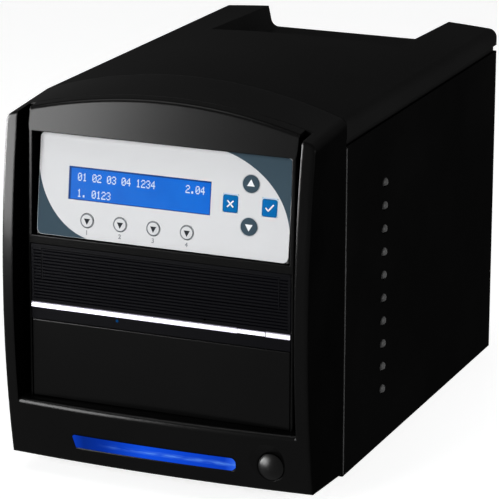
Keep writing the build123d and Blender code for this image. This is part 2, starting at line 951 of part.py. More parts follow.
with BuildPart(panel) as key_board:
    slab(
        key_board_x,
        (key_board_y[0], key_board_step_y),
        (switch_base - board_thick, switch_base),
    )
    slab(
        (key_board_step_x, key_board_x[1]),
        key_board_y,
        (switch_base - board_thick, switch_base),
    )
finish(key_board.part, "key_board")

for name, (kind, x, y) in keys.items():
    with BuildPart(panel) as key_cap:
        key_shape(kind, x, y, 0.0, (key_proud - key_thick, key_proud))
        rod("Z", (x, y), stem_r, (switch_top - stem_reach, key_proud - key_thick))
    finish(key_cap.part, name)

# ---------------------------------------------------------------- chin fittings
board_y = face_y + front_board_setback
with BuildPart() as light_bar:
    extrude(light_outline(-fit), amount=front_board_setback + bow_proud + plan_bow + past)
    add(barrel(light_proud), mode=Mode.INTERSECT)
finish(light_bar.part, "light_bar")

power_body_y = button_face + wall + button_travel + past
with BuildPart() as front_board:
    slab(
        (light_left - front_board_over, button_x + front_board_over),
        (board_y, board_y + board_thick),
        (light_z - front_board_half, light_z + front_board_half),
    )
    slab(
        (button_x - power_switch_half, button_x + power_switch_half),
        (power_body_y, board_y),
        (button_z - power_switch_half, button_z + power_switch_half),
    )
    stem_end = board_y - stem_floor
    rod("Y", button_at, stem_r + stem_gap, (power_body_y - past, stem_end), Mode.SUBTRACT)
finish(front_board.part, "front_board")

dome_ball = (button_r**2 + button_dome**2) / (2 * button_dome)
dome_turn = math.asin(button_r / dome_ball) / 2
dome_middle = (
    dome_ball * math.sin(dome_turn),
    dome_ball * (1 - math.cos(dome_turn)) - button_dome,
)
with BuildPart() as power_button:
    cap_back = power_body_y - button_travel - fit
    cap_edge_y = button_face + button_rise
    with BuildSketch(Plane((button_x, cap_edge_y, button_z), x_dir=(1, 0, 0), z_dir=(0, 0, 1))):
        with BuildLine():
            Polyline((0, -button_dome), (0, 0), (button_r, 0))
            ThreePointArc((button_r, 0), dome_middle, (0, -button_dome))
        make_face()
    revolve(axis=Axis((button_x, 0, button_z), (0, 1, 0)))
    rod("Y", button_at, button_r, (cap_edge_y, cap_back))
    rod("Y", button_at, stem_r, (cap_back, stem_end - button_travel - stem_play))
finish(power_button.part, "power_button")

# ---------------------------------------------------------------- drive bay
bay_back = face_y + bay_length
drive_screw_places = [(face_y + y, drive_z + drive_screws_z) for y in drive_screws_y]
disk_screw_places = [(face_y + disk_setback + y, disk_z + disk_screws_z) for y in disk_screws_y]
with BuildPart() as drive_bay:
    for side in (-1, 1):
        with BuildSketch(Plane.YZ.offset(side * bay_half if side > 0 else -bay_half - bay_sheet)):
            with BuildLine():
                Polyline(
                    (plate_back, bay_floor_z),
                    (plate_back, shelf_z),
                    (bay_back, shelf_z),
                    (bay_back, floor_z),
                    (joint_y + sheet + fit, floor_z),
                    (joint_y + sheet + fit, bay_floor_z),
                    close=True,
                )
            make_face()
        extrude(amount=bay_sheet)
    slab(
        (-bay_half - bay_sheet, bay_half + bay_sheet),
        (plate_back, bay_back),
        (shelf_z, shelf_z + bay_sheet),
    )
    for y, z in drive_screw_places + disk_screw_places:
        rod("X", (y, z), screw_r + screw_gap, (-case_width, case_width), Mode.SUBTRACT)
finish(drive_bay.part, "drive_bay")

blank_z = drive_z - blank_gap - blank_height
with BuildPart() as bay_cover:
    slab(
        (-drive_width / 2, drive_width / 2),
        (face_y, face_y + blank_thick),
        (blank_z, blank_z + blank_height),
    )
    fillet(bay_cover.faces().sort_by(Axis.Y)[0].edges(), blank_edge)
    for side in (-1, 1):
        slab(
            sorted((side * (bay_half - blank_tab), side * bay_half)),
            (face_y + blank_thick, face_y + disk_setback - fit),
            (blank_z + blank_tab_in, blank_z + blank_height - blank_tab_in),
        )
finish(bay_cover.part, "bay_cover")

disk_floor = disk_z - bay_sheet
disk_y = (face_y + disk_setback, face_y + disk_setback + disk_depth)
with BuildPart() as disk_bracket:
    slab((-bay_half, bay_half), disk_y, (disk_floor, disk_z))
    for side in (-1, 1):
        lip = sorted((side * bay_half, side * (bay_half - bay_sheet)))
        slab(lip, disk_y, (disk_z, disk_z + bracket_lip))
        for y, z in disk_screw_places:
            ends = sorted((side * (bay_half + past), side * (bay_half - 2 * past)))
            rod("X", (y, z), screw_r + run_gap, ends, Mode.SUBTRACT)
finish(disk_bracket.part, "disk_bracket")

with BuildPart() as hard_drive:
    disk_top = disk_z + disk_height
    slab((-disk_width / 2, disk_width / 2), disk_y, (disk_z, disk_top - disk_lid))
    slab(
        (-disk_width / 2 + disk_lid_in, disk_width / 2 - disk_lid_in),
        (disk_y[0] + disk_lid_in, disk_y[1] - disk_lid_end),
        (disk_top - disk_lid, disk_top),
    )
    rod("Z", (0, disk_y[0] + disk_hub_y), disk_hub_r, (disk_top, disk_top + disk_hub_height))
finish(hard_drive.part, "hard_drive")

shell_half = drive_width / 2 - shell_side
with BuildPart() as case_screws:
    for x, y in foot_places:
        rod("Z", (x, y), head_r, (head_lift, head_height))
        rod("Z", (x, y), screw_r, (head_lift, floor_z + screw_bite))
    for side in (-1, 1):
        outer = bay_half + bay_sheet
        for y, z in drive_screw_places:
            rod("X", (y, z), head_r, sorted((side * outer, side * (outer + head_height))))
            rod("X", (y, z), screw_r, sorted((side * (shell_half - screw_bite), side * outer)))
        for y, z in disk_screw_places:
            rod("X", (y, z), head_r, sorted((side * outer, side * (outer + head_height))))
            rod("X", (y, z), screw_r, sorted((side * (bay_half - screw_bite), side * outer)))
finish(case_screws.part, "case_screws")

# ---------------------------------------------------------------- optical drive
rib_first = strip_z + strip_height + rib_pitch
rib_count = int((drive_top - rib_margin / 2 - rib_first) / rib_pitch)
rib_heights = [rib_first + n * rib_pitch for n in range(rib_count)]
door_span = (door_z, door_z + door_height)


def rib_grooves(reach):
    """Fine level grooves across the face of the drive."""
    for z in rib_heights:
        slab(
            (-reach, reach),
            (face_y - past, face_y + rib_depth),
            (z, z + rib_share * rib_pitch),
            Mode.SUBTRACT,
        )


with BuildPart() as drive_fascia:
    slab((-drive_half, drive_half), (face_y, face_y + fascia_thick), (drive_z, drive_top))
    rib_grooves(drive_half - rib_margin)
    slab(
        (-door_half - door_gap, door_half + door_gap),
        (face_y - past, face_y + fascia_thick + past),
        (door_span[0] - door_gap, door_span[1] + door_gap),
        Mode.SUBTRACT,
    )
    slab(
        (-drive_half - past, drive_half + past),
        (face_y - past, face_y + strip_deep),
        (strip_z, strip_z + strip_height),
        Mode.SUBTRACT,
    )
    slab(
        (eject_x - eject_half - eject_gap, eject_x + eject_half + eject_gap),
        (face_y - past, face_y + fascia_thick + past),
        (strip_z, strip_z + strip_height),
        Mode.SUBTRACT,
    )
    through = (face_y - past, face_y + fascia_thick + past)
    rod("Y", (led_x, led_z), led_r, through, Mode.SUBTRACT)
    rod("Y", (pinhole_x, strip_z + pinhole_rise), pinhole_r, through, Mode.SUBTRACT)
finish(drive_fascia.part, "drive_fascia")

with BuildPart() as bright_strip:
    for ends in (
        (-drive_half, eject_x - eject_half - eject_gap),
        (eject_x + eject_half + eject_gap, drive_half),
    ):
        slab(ends, (face_y - strip_proud, face_y + strip_deep), (strip_z, strip_z + strip_height))
finish(bright_strip.part, "bright_strip")

with BuildPart() as eject_button:
    slab(
        (eject_x - eject_half, eject_x + eject_half),
        (face_y - strip_proud - led_proud, face_y + fascia_thick - eject_gap),
        (strip_z + eject_gap, strip_z + strip_height - eject_gap),
    )
finish(eject_button.part, "eject_button")

with BuildPart() as drive_lamp:
    rod("Y", (led_x, led_z), led_r - run_gap, (face_y - led_proud, face_y + fascia_thick))
finish(drive_lamp.part, "drive_lamp")

shell_y = (face_y + fascia_thick, face_y + fascia_thick + shell_depth)
shell_z = (drive_z + fit, drive_top - fit)
with BuildPart() as drive_shell:
    slab((-shell_half, shell_half), shell_y, shell_z)
    slab(
        (-shell_half + shell_wall, shell_half - shell_wall),
        (shell_y[0] - past, shell_y[1] - shell_wall),
        (shell_z[0] + shell_wall, shell_z[1] - shell_wall),
        Mode.SUBTRACT,
    )
    for y, z in drive_screw_places:
        rod("X", (y, z), screw_r + run_gap, (-case_width, case_width), Mode.SUBTRACT)
finish(drive_shell.part, "drive_shell")

spindle_y = face_y + spindle_setback
gear_y = face_y + gear_setback
gear_r = gear_module * gear_teeth / 2
tooth_pitch = math.pi * gear_module
rack_x = rack_in - tray_half  # pitch line of the rack
gear_x = rack_x + gear_r
tray_y = (face_y + fascia_thick, face_y + fascia_thick + tray_travel + tray_stay)
frame_half_x = shell_half - shell_wall
frame_floor = shell_z[0] + shell_wall
rail_top = tray_z - rail_gap
rail_in = rack_rib - rack_x + rail_gap
sled_y = spindle_y + sled_setback
deck_top = deck_z + deck_thick
rod_span = (spindle_y + rod_setback, sled_y + sled_travel + sled_length + rod_spare)
with BuildPart() as loader_frame:
    frame_y = (shell_y[0] + eject_travel + rail_gap, shell_y[1] - shell_wall - guide_rise)
    for side in (-1, 1):
        slab(sorted((side * rail_in, side * frame_half_x)), frame_y, (frame_floor, rail_top))
        slab(
            sorted((side * (tray_half + rail_gap), side * frame_half_x)),
            frame_y,
            (rail_top, tray_z + tray_thick + guide_rise),
        )
        for y, z in drive_screw_places:
            ends = sorted((side * (frame_half_x + past), side * (shell_half - screw_bite - hole_past)))
            rod("X", (y, z), screw_r + screw_gap, ends, Mode.SUBTRACT)
    slab((-rail_in, rail_in), frame_y, (deck_z, deck_top))
    for x in (-rod_x, rod_x):
        for y in rod_span:
            slab(
                (x - rod_block, x + rod_block),
                (y - rod_block / 2, y + rod_block / 2),
                (deck_top, rod_z + rod_r + rod_block_top),
            )
    for x in (-rod_x, rod_x):
        rod("Y", (x, rod_z), rod_r + run_gap / 2, (rod_span[0] - past, rod_span[1] + past), Mode.SUBTRACT)
finish(loader_frame.part, "loader_frame")

with BuildPart() as sled_rods:
    for x in (-rod_x, rod_x):
        rod("Y", (x, rod_z), rod_r, (rod_span[0] - past, rod_span[1] + past))
finish(sled_rods.part, "sled_rods")

with BuildPart() as laser_sled:
    slab(
        (-rod_x - sled_over, rod_x + sled_over),
        (sled_y, sled_y + sled_length),
        (rod_z - sled_height / 2, rod_z + sled_height / 2),
    )
    rod("Z", (0, sled_y + lens_setback), lens_r, (rod_z, tray_z + lens_rise))
    for x in (-rod_x, rod_x):
        rod("Y", (x, rod_z), rod_r + run_gap, (sled_y - past, sled_y + sled_length + past), Mode.SUBTRACT)
finish(laser_sled.part, "laser_sled")

with BuildPart() as spindle_motor:
    rod("Z", (0, spindle_y), spindle_motor_r, (deck_top, table_z - motor_gap))
    rod("Z", (0, spindle_y), stem_r + run_gap, (deck_top + shaft_start, table_z + past), Mode.SUBTRACT)
finish(spindle_motor.part, "spindle_motor")

with BuildPart() as turntable:
    rod("Z", (0, spindle_y), table_r, (table_z, table_z + table_thick))
    rod("Z", (0, spindle_y), hub_r, (table_z + table_thick, table_z + table_thick + hub_height))
    fillet(turntable.edges().group_by(Axis.Z)[-1], hub_round)
    rod("Z", (0, spindle_y), stem_r, (deck_top + shaft_start + fit, table_z))
finish(turntable.part, "turntable")

rack_z = (gear_z + rack_lift, tray_z)
with BuildPart() as disc_tray:
    slab((-tray_half, tray_half), tray_y, (tray_z, tray_z + tray_thick))
    rod(
        "Z",
        (0, spindle_y),
        disc_r,
        (tray_z + tray_thick - disc_depth, tray_z + tray_thick + past),
        Mode.SUBTRACT,
    )
    rod(
        "Z",
        (0, spindle_y),
        hollow_r,
        (tray_z + tray_thick - hollow_depth, tray_z + tray_thick + past),
        Mode.SUBTRACT,
    )
    rod("Z", (0, spindle_y), slot_half, (tray_z - past, tray_z + tray_thick + past), Mode.SUBTRACT)
    slab(
        (-slot_half, slot_half),
        (spindle_y, tray_y[1] + past),
        (tray_z - past, tray_z + tray_thick + past),
        Mode.SUBTRACT,
    )
    # rack: a rib under the tray with straight-sided teeth towards the gear
    tip, root = tip_share * gear_module, root_share * gear_module
    slab((rack_x - rack_rib, rack_x - root), (tray_y[0] + rack_start, tray_y[1]), rack_z)
    tooth_half = tooth_pitch / 4 - mesh_gap / 2
    splay = math.tan(math.radians(pressure_angle))
    teeth_back = int((tray_y[1] - tooth_pitch - gear_y) / tooth_pitch)
    with BuildSketch(Plane.XY.offset(rack_z[0])):
        teeth_y = [gear_y + (n + 0.5) * tooth_pitch for n in range(-rack_ahead, teeth_back)]
        with Locations(*[(rack_x, y) for y in teeth_y]):
            Polygon(
                (-root - root_sink, tooth_half + splay * (root + root_sink)),
                (-root - root_sink, -tooth_half - splay * (root + root_sink)),
                (tip, -tooth_half + splay * tip),
                (tip, tooth_half - splay * tip),
                align=None,
            )
    extrude(amount=rack_z[1] - rack_z[0])
finish(disc_tray.part, "disc_tray")

with BuildPart() as tray_door:
    slab((-door_half, door_half), (face_y, face_y + fascia_thick), door_span)
    rib_grooves(door_half - rib_margin / 2)
finish(tray_door.part, "tray_door")


def involute(radius, base):
    """Angle that an involute from the base circle has turned by at a radius."""
    pressure = math.acos(min(1.0, base / radius))
    return math.tan(pressure) - pressure


with BuildPart() as tray_gear:
    base_r = gear_r * math.cos(math.radians(pressure_angle))
    tip_r = gear_r + tip_share * gear_module
    root_r = gear_r - root_share * gear_module
    half_angle = math.pi / (2 * gear_teeth) - mesh_gap / 2 / gear_r + involute(gear_r, base_r)
    flank = [(root_r, half_angle)]
    flank += [
        (r, half_angle - involute(r, base_r))
        for r in (base_r, (base_r + gear_r) / 2, gear_r, (gear_r + tip_r) / 2, tip_r)
    ]
    outline = []
    for tooth in range(gear_teeth):
        middle = 2 * math.pi * tooth / gear_teeth
        outline += [(r * math.cos(middle - a), r * math.sin(middle - a)) for r, a in flank]
        outline += [(r * math.cos(middle + a), r * math.sin(middle + a)) for r, a in reversed(flank)]
    with BuildSketch(Plane.XY.offset(gear_z)):
        with Locations((gear_x, gear_y)):
            Polygon(*outline, align=None)
    extrude(amount=gear_thick)
    rod("Z", (gear_x, gear_y), stem_r, (deck_top + shaft_start + fit, gear_z + past))
finish(tray_gear.part, "tray_gear")

with BuildPart() as loading_motor:
    rod("Z", (gear_x, gear_y), motor_r, (deck_top, gear_z - motor_gap))
    rod("Z", (gear_x, gear_y), stem_r + run_gap, (deck_top + shaft_start, gear_z + past), Mode.SUBTRACT)
finish(loading_motor.part, "loading_motor")

# ---------------------------------------------------------------- controller board on the shelf
processor = (-10, 45, 26, 26, 2.5)
memory_front = (26, 40, 12, 20, 1.2)
memory_rear = (26, 66, 12, 20, 1.2)
keypad_plug = (-42, 30, 10, 30, 8.0)
drive_plug = (-20, 92, 16, 8, 9.0)
disk_plug = (4, 92, 16, 8, 9.0)
power_plug = (44, 88, 12, 16, 12.0)
board_parts = (
    processor,
    memory_front,
    memory_rear,
    keypad_plug,
    drive_plug,
    disk_plug,
    power_plug,
)
control_z = shelf_z + bay_sheet + control_lift
control_y = (joint_y + control_in, bay_back - control_in)
with BuildPart() as controller_board:
    slab((-control_half, control_half), control_y, (control_z, control_z + board_thick))
    for x in (-control_half + post_gap, control_half - post_gap):
        for y in (control_y[0] + post_gap, control_y[1] - post_gap):
            rod("Z", (x, y), post_r, (shelf_z + bay_sheet, control_z))
    board_top = control_z + board_thick
    for x, y, wide, deep, tall in board_parts:
        slab(
            (x - wide / 2, x + wide / 2),
            (control_y[0] + y - deep / 2, control_y[0] + y + deep / 2),
            (board_top, board_top + tall),
        )
finish(controller_board.part, "controller_board")

# ---------------------------------------------------------------- fans


def fan_frame(place, size, depth, screw_pitch):
    """A square duct with a bearing on four arms; local Z runs from the wall into the case."""
    bore = size / 2 - fan_bore_wall
    hub = size * fan_hub_share
    arms = (depth - fan_arm_deep, depth)
    with BuildPart(place) as frame:
        slab((-size / 2, size / 2), (-size / 2, size / 2), (0, depth))
        fillet(frame.edges().filter_by(Axis.Y).group_by(Axis.X)[0], fan_corner_r)
        fillet(frame.edges().filter_by(Axis.Y).group_by(Axis.X)[-1], fan_corner_r)
        rod("Z", (0, 0), bore, (-past, depth + past), Mode.SUBTRACT)
        rod("Z", (0, 0), hub, arms)
        slab((-bore - past, bore + past), (-fan_arm_half, fan_arm_half), arms)
        slab((-fan_arm_half, fan_arm_half), (-bore - past, bore + past), arms)
        rod("Z", (0, 0), stem_r + run_gap, (depth - fan_shaft, depth + past), Mode.SUBTRACT)
        for x in (-1, 1):
            for y in (-1, 1):
                place_xy = (x * screw_pitch / 2, y * screw_pitch / 2)
                rod("Z", place_xy, fan_screw_r + run_gap, (-past, depth + past), Mode.SUBTRACT)
    return frame.part


def fan_rotor(place, size, depth, blades):
    """Hub, shaft and slanted blades that turn inside the duct."""
    tip = size / 2 - fan_bore_wall - blade_gap
    hub = size * fan_hub_share
    chord = (depth - blade_margin) / math.sin(math.radians(blade_lean))
    with BuildPart(place) as rotor:
        rod("Z", (0, 0), hub, (hub_start, depth - hub_end))
        fillet(rotor.edges().group_by(Axis.Y)[-1], hub_edge)
        middle = (hub_start + depth - hub_end) / 2
        with Locations((0, 0, middle)):
            with PolarLocations((hub + tip) / 2 - past, blades):
                Box(tip - hub + 2 * past, chord, blade_thick, rotation=(blade_lean, 0, 0))
        rod("Z", (0, 0), stem_r, (depth - fan_shaft, depth - stem_floor))
    return rotor.part


case_fan_place = Plane(origin=(0, inside_rear, fan_z), x_dir=(1, 0, 0), z_dir=(0, -1, 0))
finish(fan_frame(case_fan_place, fan_size, fan_depth, fan_screw_pitch), "fan_frame")
finish(fan_rotor(case_fan_place, fan_size, fan_depth, blade_count), "fan_rotor")

guard_place = Plane(origin=(0, rear_y, fan_z), x_dir=(1, 0, 0), z_dir=(0, 1, 0))
with BuildPart(guard_place) as fan_guard:
    for ring in guard_rings:
        with Locations((0, 0, guard_stand + wire_r)):
            Torus(ring * fan_size / 2, wire_r)
    for x in (-1, 1):
        for y in (-1, 1):
            eye = fan_screw_pitch / 2
            with Locations(Location((x * eye, y * eye, wire_r / 2))):
                Cylinder(fan_screw_r + eye_wall, wire_r)
            turn = (0, 0, math.degrees(math.atan2(y, x)))
            bend = guard_bend * eye
            with Locations(Location((x * bend / 2, y * bend / 2, guard_stand + wire_r), turn)):
                Box(bend * math.sqrt(2), 2 * wire_r, wire_r)
            with Locations(Location((x * bend, y * bend, (guard_stand + wire_r) / 2), turn)):
                Box(2 * wire_r, 2 * wire_r, guard_stand + wire_r)
    for x in (-1, 1):
        for y in (-1, 1):
            place_xy = (x * fan_screw_pitch / 2, y * fan_screw_pitch / 2)
            rod("Z", place_xy, fan_screw_r + run_gap, (-past, guard_proud), Mode.SUBTRACT)
finish(fan_guard.part, "fan_guard")

with BuildPart() as fan_screws:
    for x, z in fan_corners:
        rod("Y", (x, z), fan_screw_r + fan_head_over, (rear_y + wire_r, rear_y + wire_r + fan_head_height))
        rod("Y", (x, z), fan_screw_r, (rear_y - fan_screw_length, rear_y + wire_r))
finish(fan_screws.part, "fan_screws")

# ---------------------------------------------------------------- supply
supply_half = supply_width / 2
supply_back = inside_rear
rocker_at = (inlet_x, switch_z)
with BuildPart() as supply_case:
    slab((-supply_half, supply_half), (supply_front, supply_back), (floor_z, supply_top))
    slab(
        (-supply_half + supply_wall, supply_half - supply_wall),
        (supply_front + supply_wall, supply_back - supply_wall),
        (floor_z + supply_wall, supply_top - supply_wall),
        Mode.SUBTRACT,
    )
    back_cut = (supply_back - supply_wall - past, supply_back + past)
    for (x, z), wide, tall in (
        ((inlet_x, inlet_z), inlet_width, inlet_height),
        (rocker_at, rocker_width, rocker_height),
    ):
        slab((x - wide / 2, x + wide / 2), back_cut, (z - tall / 2, z + tall / 2), Mode.SUBTRACT)
    rod("Y", (small_fan_x, small_fan_z), small_fan / 2 - small_fan_lip, back_cut, Mode.SUBTRACT)
    for n in range(-slot_pairs, slot_pairs + 1):
        slab(
            (n * slot_pitch - slot_side, n * slot_pitch + slot_side),
            (supply_front - past, supply_front + supply_wall + past),
            (slot_first, slot_last),
            Mode.SUBTRACT,
        )
finish(supply_case.part, "supply_case")

small_fan_place = Plane(
    origin=(small_fan_x, supply_back - supply_wall, small_fan_z), x_dir=(1, 0, 0), z_dir=(0, -1, 0)
)
finish(fan_frame(small_fan_place, small_fan, small_fan_depth, small_fan_pitch), "supply_fan_frame")
finish(fan_rotor(small_fan_place, small_fan, small_fan_depth, blade_count), "supply_fan_rotor")

with BuildPart() as mains_inlet:
    body_y = (supply_back - inlet_body, supply_back)
    slab(
        (inlet_x - inlet_width / 2, inlet_x + inlet_width / 2),
        body_y,
        (inlet_z - inlet_height / 2, inlet_z + inlet_height / 2),
    )
    slab(
        (inlet_x - inlet_width / 2 - inlet_lip, inlet_x + inlet_width / 2 + inlet_lip),
        (supply_back, supply_back + inlet_flange),
        (inlet_z - inlet_height / 2 - inlet_lip, inlet_z + inlet_height / 2 + inlet_lip),
    )
    socket_back = supply_back + inlet_flange - socket_depth
    with BuildSketch(Plane.XZ.offset(-socket_back)):
        with Locations((inlet_x, inlet_z)):
            wide, tall, cut = socket_width / 2, socket_height / 2, socket_cut
            Polygon(
                (-wide, -tall),
                (wide, -tall),
                (wide, tall - cut),
                (wide - cut, tall),
                (-wide + cut, tall),
                (-wide, tall - cut),
                align=None,
            )
    extrude(amount=-socket_depth - past, mode=Mode.SUBTRACT)
    for x, z in pin_places:
        slab(
            (inlet_x + x - pin_wide, inlet_x + x + pin_wide),
            (body_y[0] - past, socket_back + past),
            (inlet_z + z - pin_tall, inlet_z + z + pin_tall),
            Mode.SUBTRACT,
        )
finish(mains_inlet.part, "mains_inlet")

with BuildPart() as inlet_pins:
    for x, z in pin_places:
        slab(
            (inlet_x + x - pin_wide, inlet_x + x + pin_wide),
            (body_y[0] - pin_tail, supply_back + inlet_flange - pin_sink),
            (inlet_z + z - pin_tall, inlet_z + z + pin_tall),
        )
finish(inlet_pins.part, "inlet_pins")

pivot_y = supply_back - pivot_setback
with BuildPart() as rocker_frame:
    slab(
        (inlet_x - rocker_width / 2, inlet_x + rocker_width / 2),
        (supply_back - rocker_body, supply_back),
        (switch_z - rocker_height / 2, switch_z + rocker_height / 2),
    )
    slab(
        (inlet_x - rocker_width / 2 - rocker_lip, inlet_x + rocker_width / 2 + rocker_lip),
        (supply_back, supply_back + rocker_flange),
        (switch_z - rocker_height / 2 - rocker_lip, switch_z + rocker_height / 2 + rocker_lip),
    )
    slab(
        (inlet_x - rocker_width / 2 + rocker_wall, inlet_x + rocker_width / 2 - rocker_wall),
        (supply_back - rocker_body + rocker_floor, supply_back + rocker_flange + past),
        (switch_z - rocker_height / 2 + rocker_wall, switch_z + rocker_height / 2 - rocker_wall),
        Mode.SUBTRACT,
    )
    ends = (inlet_x - rocker_width / 2 + pivot_sink, inlet_x + rocker_width / 2 - pivot_sink)
    rod("X", (pivot_y, switch_z), pivot_r + run_gap, ends, Mode.SUBTRACT)
finish(rocker_frame.part, "rocker_frame")

rocker_reach = rocker_height / 2 - rocker_wall - rocker_end_gap
with BuildPart() as mains_rocker:
    with BuildSketch(Plane(origin=(inlet_x, pivot_y, switch_z), x_dir=(0, 1, 0), z_dir=(1, 0, 0))):
        with Locations(Rotation(0, 0, rocker_tilt)):
            Polygon(
                (rocker_low, -rocker_reach),
                (rocker_tip, -rocker_reach + rocker_tip_in),
                (rocker_dip, 0),
                (rocker_tip, rocker_reach - rocker_tip_in),
                (rocker_low, rocker_reach),
                (rocker_back, rocker_back_half),
                (rocker_back, -rocker_back_half),
                align=None,
            )
    extrude(amount=rocker_width / 2 - rocker_wall - fit, both=True)
    rod("X", (pivot_y, switch_z), pivot_r, (ends[0] + pivot_play, ends[1] - pivot_play))
finish(mains_rocker.part, "mains_rocker")

# ---------------------------------------------------------------- data lead inside the case
plug_y = shell_y[1]
plug_z = drive_z + plug_lift
socket_x = drive_plug[0]
socket_y = control_y[0] + drive_plug[1]
socket_top = board_top + drive_plug[4]
lead_points = [
    (plug_x, plug_y + lead_plug_length, plug_z),
    (plug_x, plug_y + lead_out, plug_z),
    (plug_x + lead_side[0], plug_y + lead_turn, plug_z + lead_rise),
    (plug_x + lead_side[1], plug_y + lead_back, socket_top + lead_over[0]),
    (socket_x + lead_in[0], socket_y + lead_in[1], socket_top + lead_over[1]),
    (socket_x, socket_y, socket_top + lead_plug_side),
]


def bend_radii(points):
    """The largest arcs that the runs on both sides of each corner allow."""
    found = []
    for before, corner, after in zip(points, points[1:], points[2:]):
        first = Vector(*corner) - Vector(*before)
        second = Vector(*after) - Vector(*corner)
        turn = math.radians(first.get_angle(second))
        found.append(0.45 * min(first.length, second.length) / math.tan(turn / 2))
    return found


lead_radii = bend_radii(lead_points)
with BuildPart() as data_cable:
    with BuildLine() as lead_path:
        FilletPolyline(*lead_points, radius=lead_radii)
    with BuildSketch(Plane(lead_path.line @ 0, z_dir=lead_path.line % 0)):
        Circle(cable_r)
    sweep()
    slab(
        (plug_x - lead_plug_half, plug_x + lead_plug_half),
        (plug_y, plug_y + lead_plug_length),
        (plug_z - lead_plug_side, plug_z + lead_plug_side),
    )
    slab(
        (socket_x - lead_plug_half, socket_x + lead_plug_half),
        (socket_y - lead_plug_side, socket_y + lead_plug_side),
        (socket_top, socket_top + lead_plug_side),
    )
finish(data_cable.part, "data_cable")
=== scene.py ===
"""A disc duplicator tower: finishes, printing, key caps and small trim over its case and drive.

Metres, +Z up, the front faces -Y, the floor is at Z = 0.  Sizes are written in millimetres.
"""

import math

import bmesh
import bpy
from mathutils import Euler, Matrix, Vector


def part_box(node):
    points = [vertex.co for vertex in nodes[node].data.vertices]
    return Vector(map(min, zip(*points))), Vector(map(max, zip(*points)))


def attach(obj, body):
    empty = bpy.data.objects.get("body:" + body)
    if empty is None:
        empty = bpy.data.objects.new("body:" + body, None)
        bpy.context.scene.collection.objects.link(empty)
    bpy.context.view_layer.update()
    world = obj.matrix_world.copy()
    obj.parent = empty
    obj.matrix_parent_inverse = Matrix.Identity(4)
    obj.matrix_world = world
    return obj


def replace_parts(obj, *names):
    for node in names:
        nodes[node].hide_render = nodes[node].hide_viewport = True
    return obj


MM = 0.001

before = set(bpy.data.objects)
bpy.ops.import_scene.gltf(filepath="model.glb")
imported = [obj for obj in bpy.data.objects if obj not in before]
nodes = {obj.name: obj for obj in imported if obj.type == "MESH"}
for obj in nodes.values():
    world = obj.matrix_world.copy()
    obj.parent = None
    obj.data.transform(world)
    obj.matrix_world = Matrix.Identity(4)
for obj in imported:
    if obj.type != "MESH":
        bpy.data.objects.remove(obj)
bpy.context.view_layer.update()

# ------------------------------------------------------------------ places taken from the case
FACE_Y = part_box("drive_fascia")[0].y
SIDE_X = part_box("right_side_panel")[1].x
film_low, film_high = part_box("keypad_film")
window_low, window_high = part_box("lcd_window")
strip_low, strip_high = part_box("bright_strip")
STRIP_LOW, STRIP_TOP = strip_low.z, strip_high.z
pipe_low, pipe_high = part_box("light_bar")
PIPE_LEFT, PIPE_RIGHT = pipe_low.x, pipe_high.x
PIPE_LOW, PIPE_TOP = pipe_low.z, pipe_high.z
FILM = 0.5 * MM  # thickness of the keypad's film
PANEL_LEAN = math.radians(7.4)
PANEL_BACK = 2.2 * MM  # its lower edge behind the drive's face
PANEL_LOW = Vector((0, FACE_Y + PANEL_BACK, film_low.z + FILM * math.sin(PANEL_LEAN)))
PANEL_HALF = film_high.x
PANEL_RISE = 54.4 * MM

# the keypad panel's own directions: along it, up its slope and out of its face
PANEL = Matrix.Translation(PANEL_LOW) @ Matrix(
    (
        (1, 0, 0, 0),
        (0, math.sin(PANEL_LEAN), -math.cos(PANEL_LEAN), 0),
        (0, math.cos(PANEL_LEAN), math.sin(PANEL_LEAN), 0),
        (0, 0, 0, 1),
    )
)
INK = 0.06 * MM  # how far printing stands proud, so that it shows

# keys on the panel: the middle of the cross of four, its arms, and the row of four below
CROSS = (49.0 * MM, 27.8 * MM)
CROSS_SIDE = 10.9 * MM
CROSS_RISE = 11.15 * MM
ROW_V = 9.8 * MM
ROW_FIRST = -42.6 * MM
ROW_PITCH = 19.05 * MM
LABEL_V = 3.3 * MM
LABEL_TALL = 2.4 * MM


# ------------------------------------------------------------------ small tools
def srgb(text):
    """A #RRGGBB colour as linear RGBA."""
    values = [int(text[n : n + 2], 16) / 255 for n in (1, 3, 5)]
    return (*[v / 12.92 if v <= 0.04045 else ((v + 0.055) / 1.055) ** 2.4 for v in values], 1.0)


BLACK = srgb("#000000")
WHITE = srgb("#FFFFFF")


def add_node(tree, kind, inputs=None, **settings):
    """Adds a shader node; an input given as another node's socket is linked, any other is set."""
    made = tree.nodes.new("ShaderNode" + kind)
    for name, value in settings.items():
        setattr(made, name, value)
    for name, value in (inputs or {}).items():
        if isinstance(value, bpy.types.NodeSocket):
            tree.links.new(value, made.inputs[name])
        else:
            made.inputs[name].default_value = value
    return made


def new_material(name):
    """An empty material with its tree and its output node."""
    material = bpy.data.materials.new(name)
    material.use_nodes = True
    material.node_tree.nodes.clear()
    return material, material.node_tree, add_node(material.node_tree, "OutputMaterial")


def grain(tree, size_mm, depth_mm, edge_mm=0.0):
    """A fine relief of bumps size_mm across and depth_mm deep, with edges rounded in the shading."""
    place = add_node(tree, "TexCoord").outputs["Object"]
    noise = add_node(
        tree,
        "TexNoise",
        {"Vector": place, "Scale": 1 / (size_mm * MM), "Detail": 2.0, "Roughness": 0.55},
    )
    relief = {"Height": noise.outputs["Fac"], "Distance": depth_mm * MM}
    if edge_mm:
        relief["Normal"] = add_node(tree, "Bevel", {"Radius": edge_mm * MM}, samples=6).outputs["Normal"]
    return add_node(tree, "Bump", relief).outputs["Normal"]


MOTTLED_FROM = 0.35  # shares of a noise's range between which two tones change over
MOTTLED_TO = 0.65


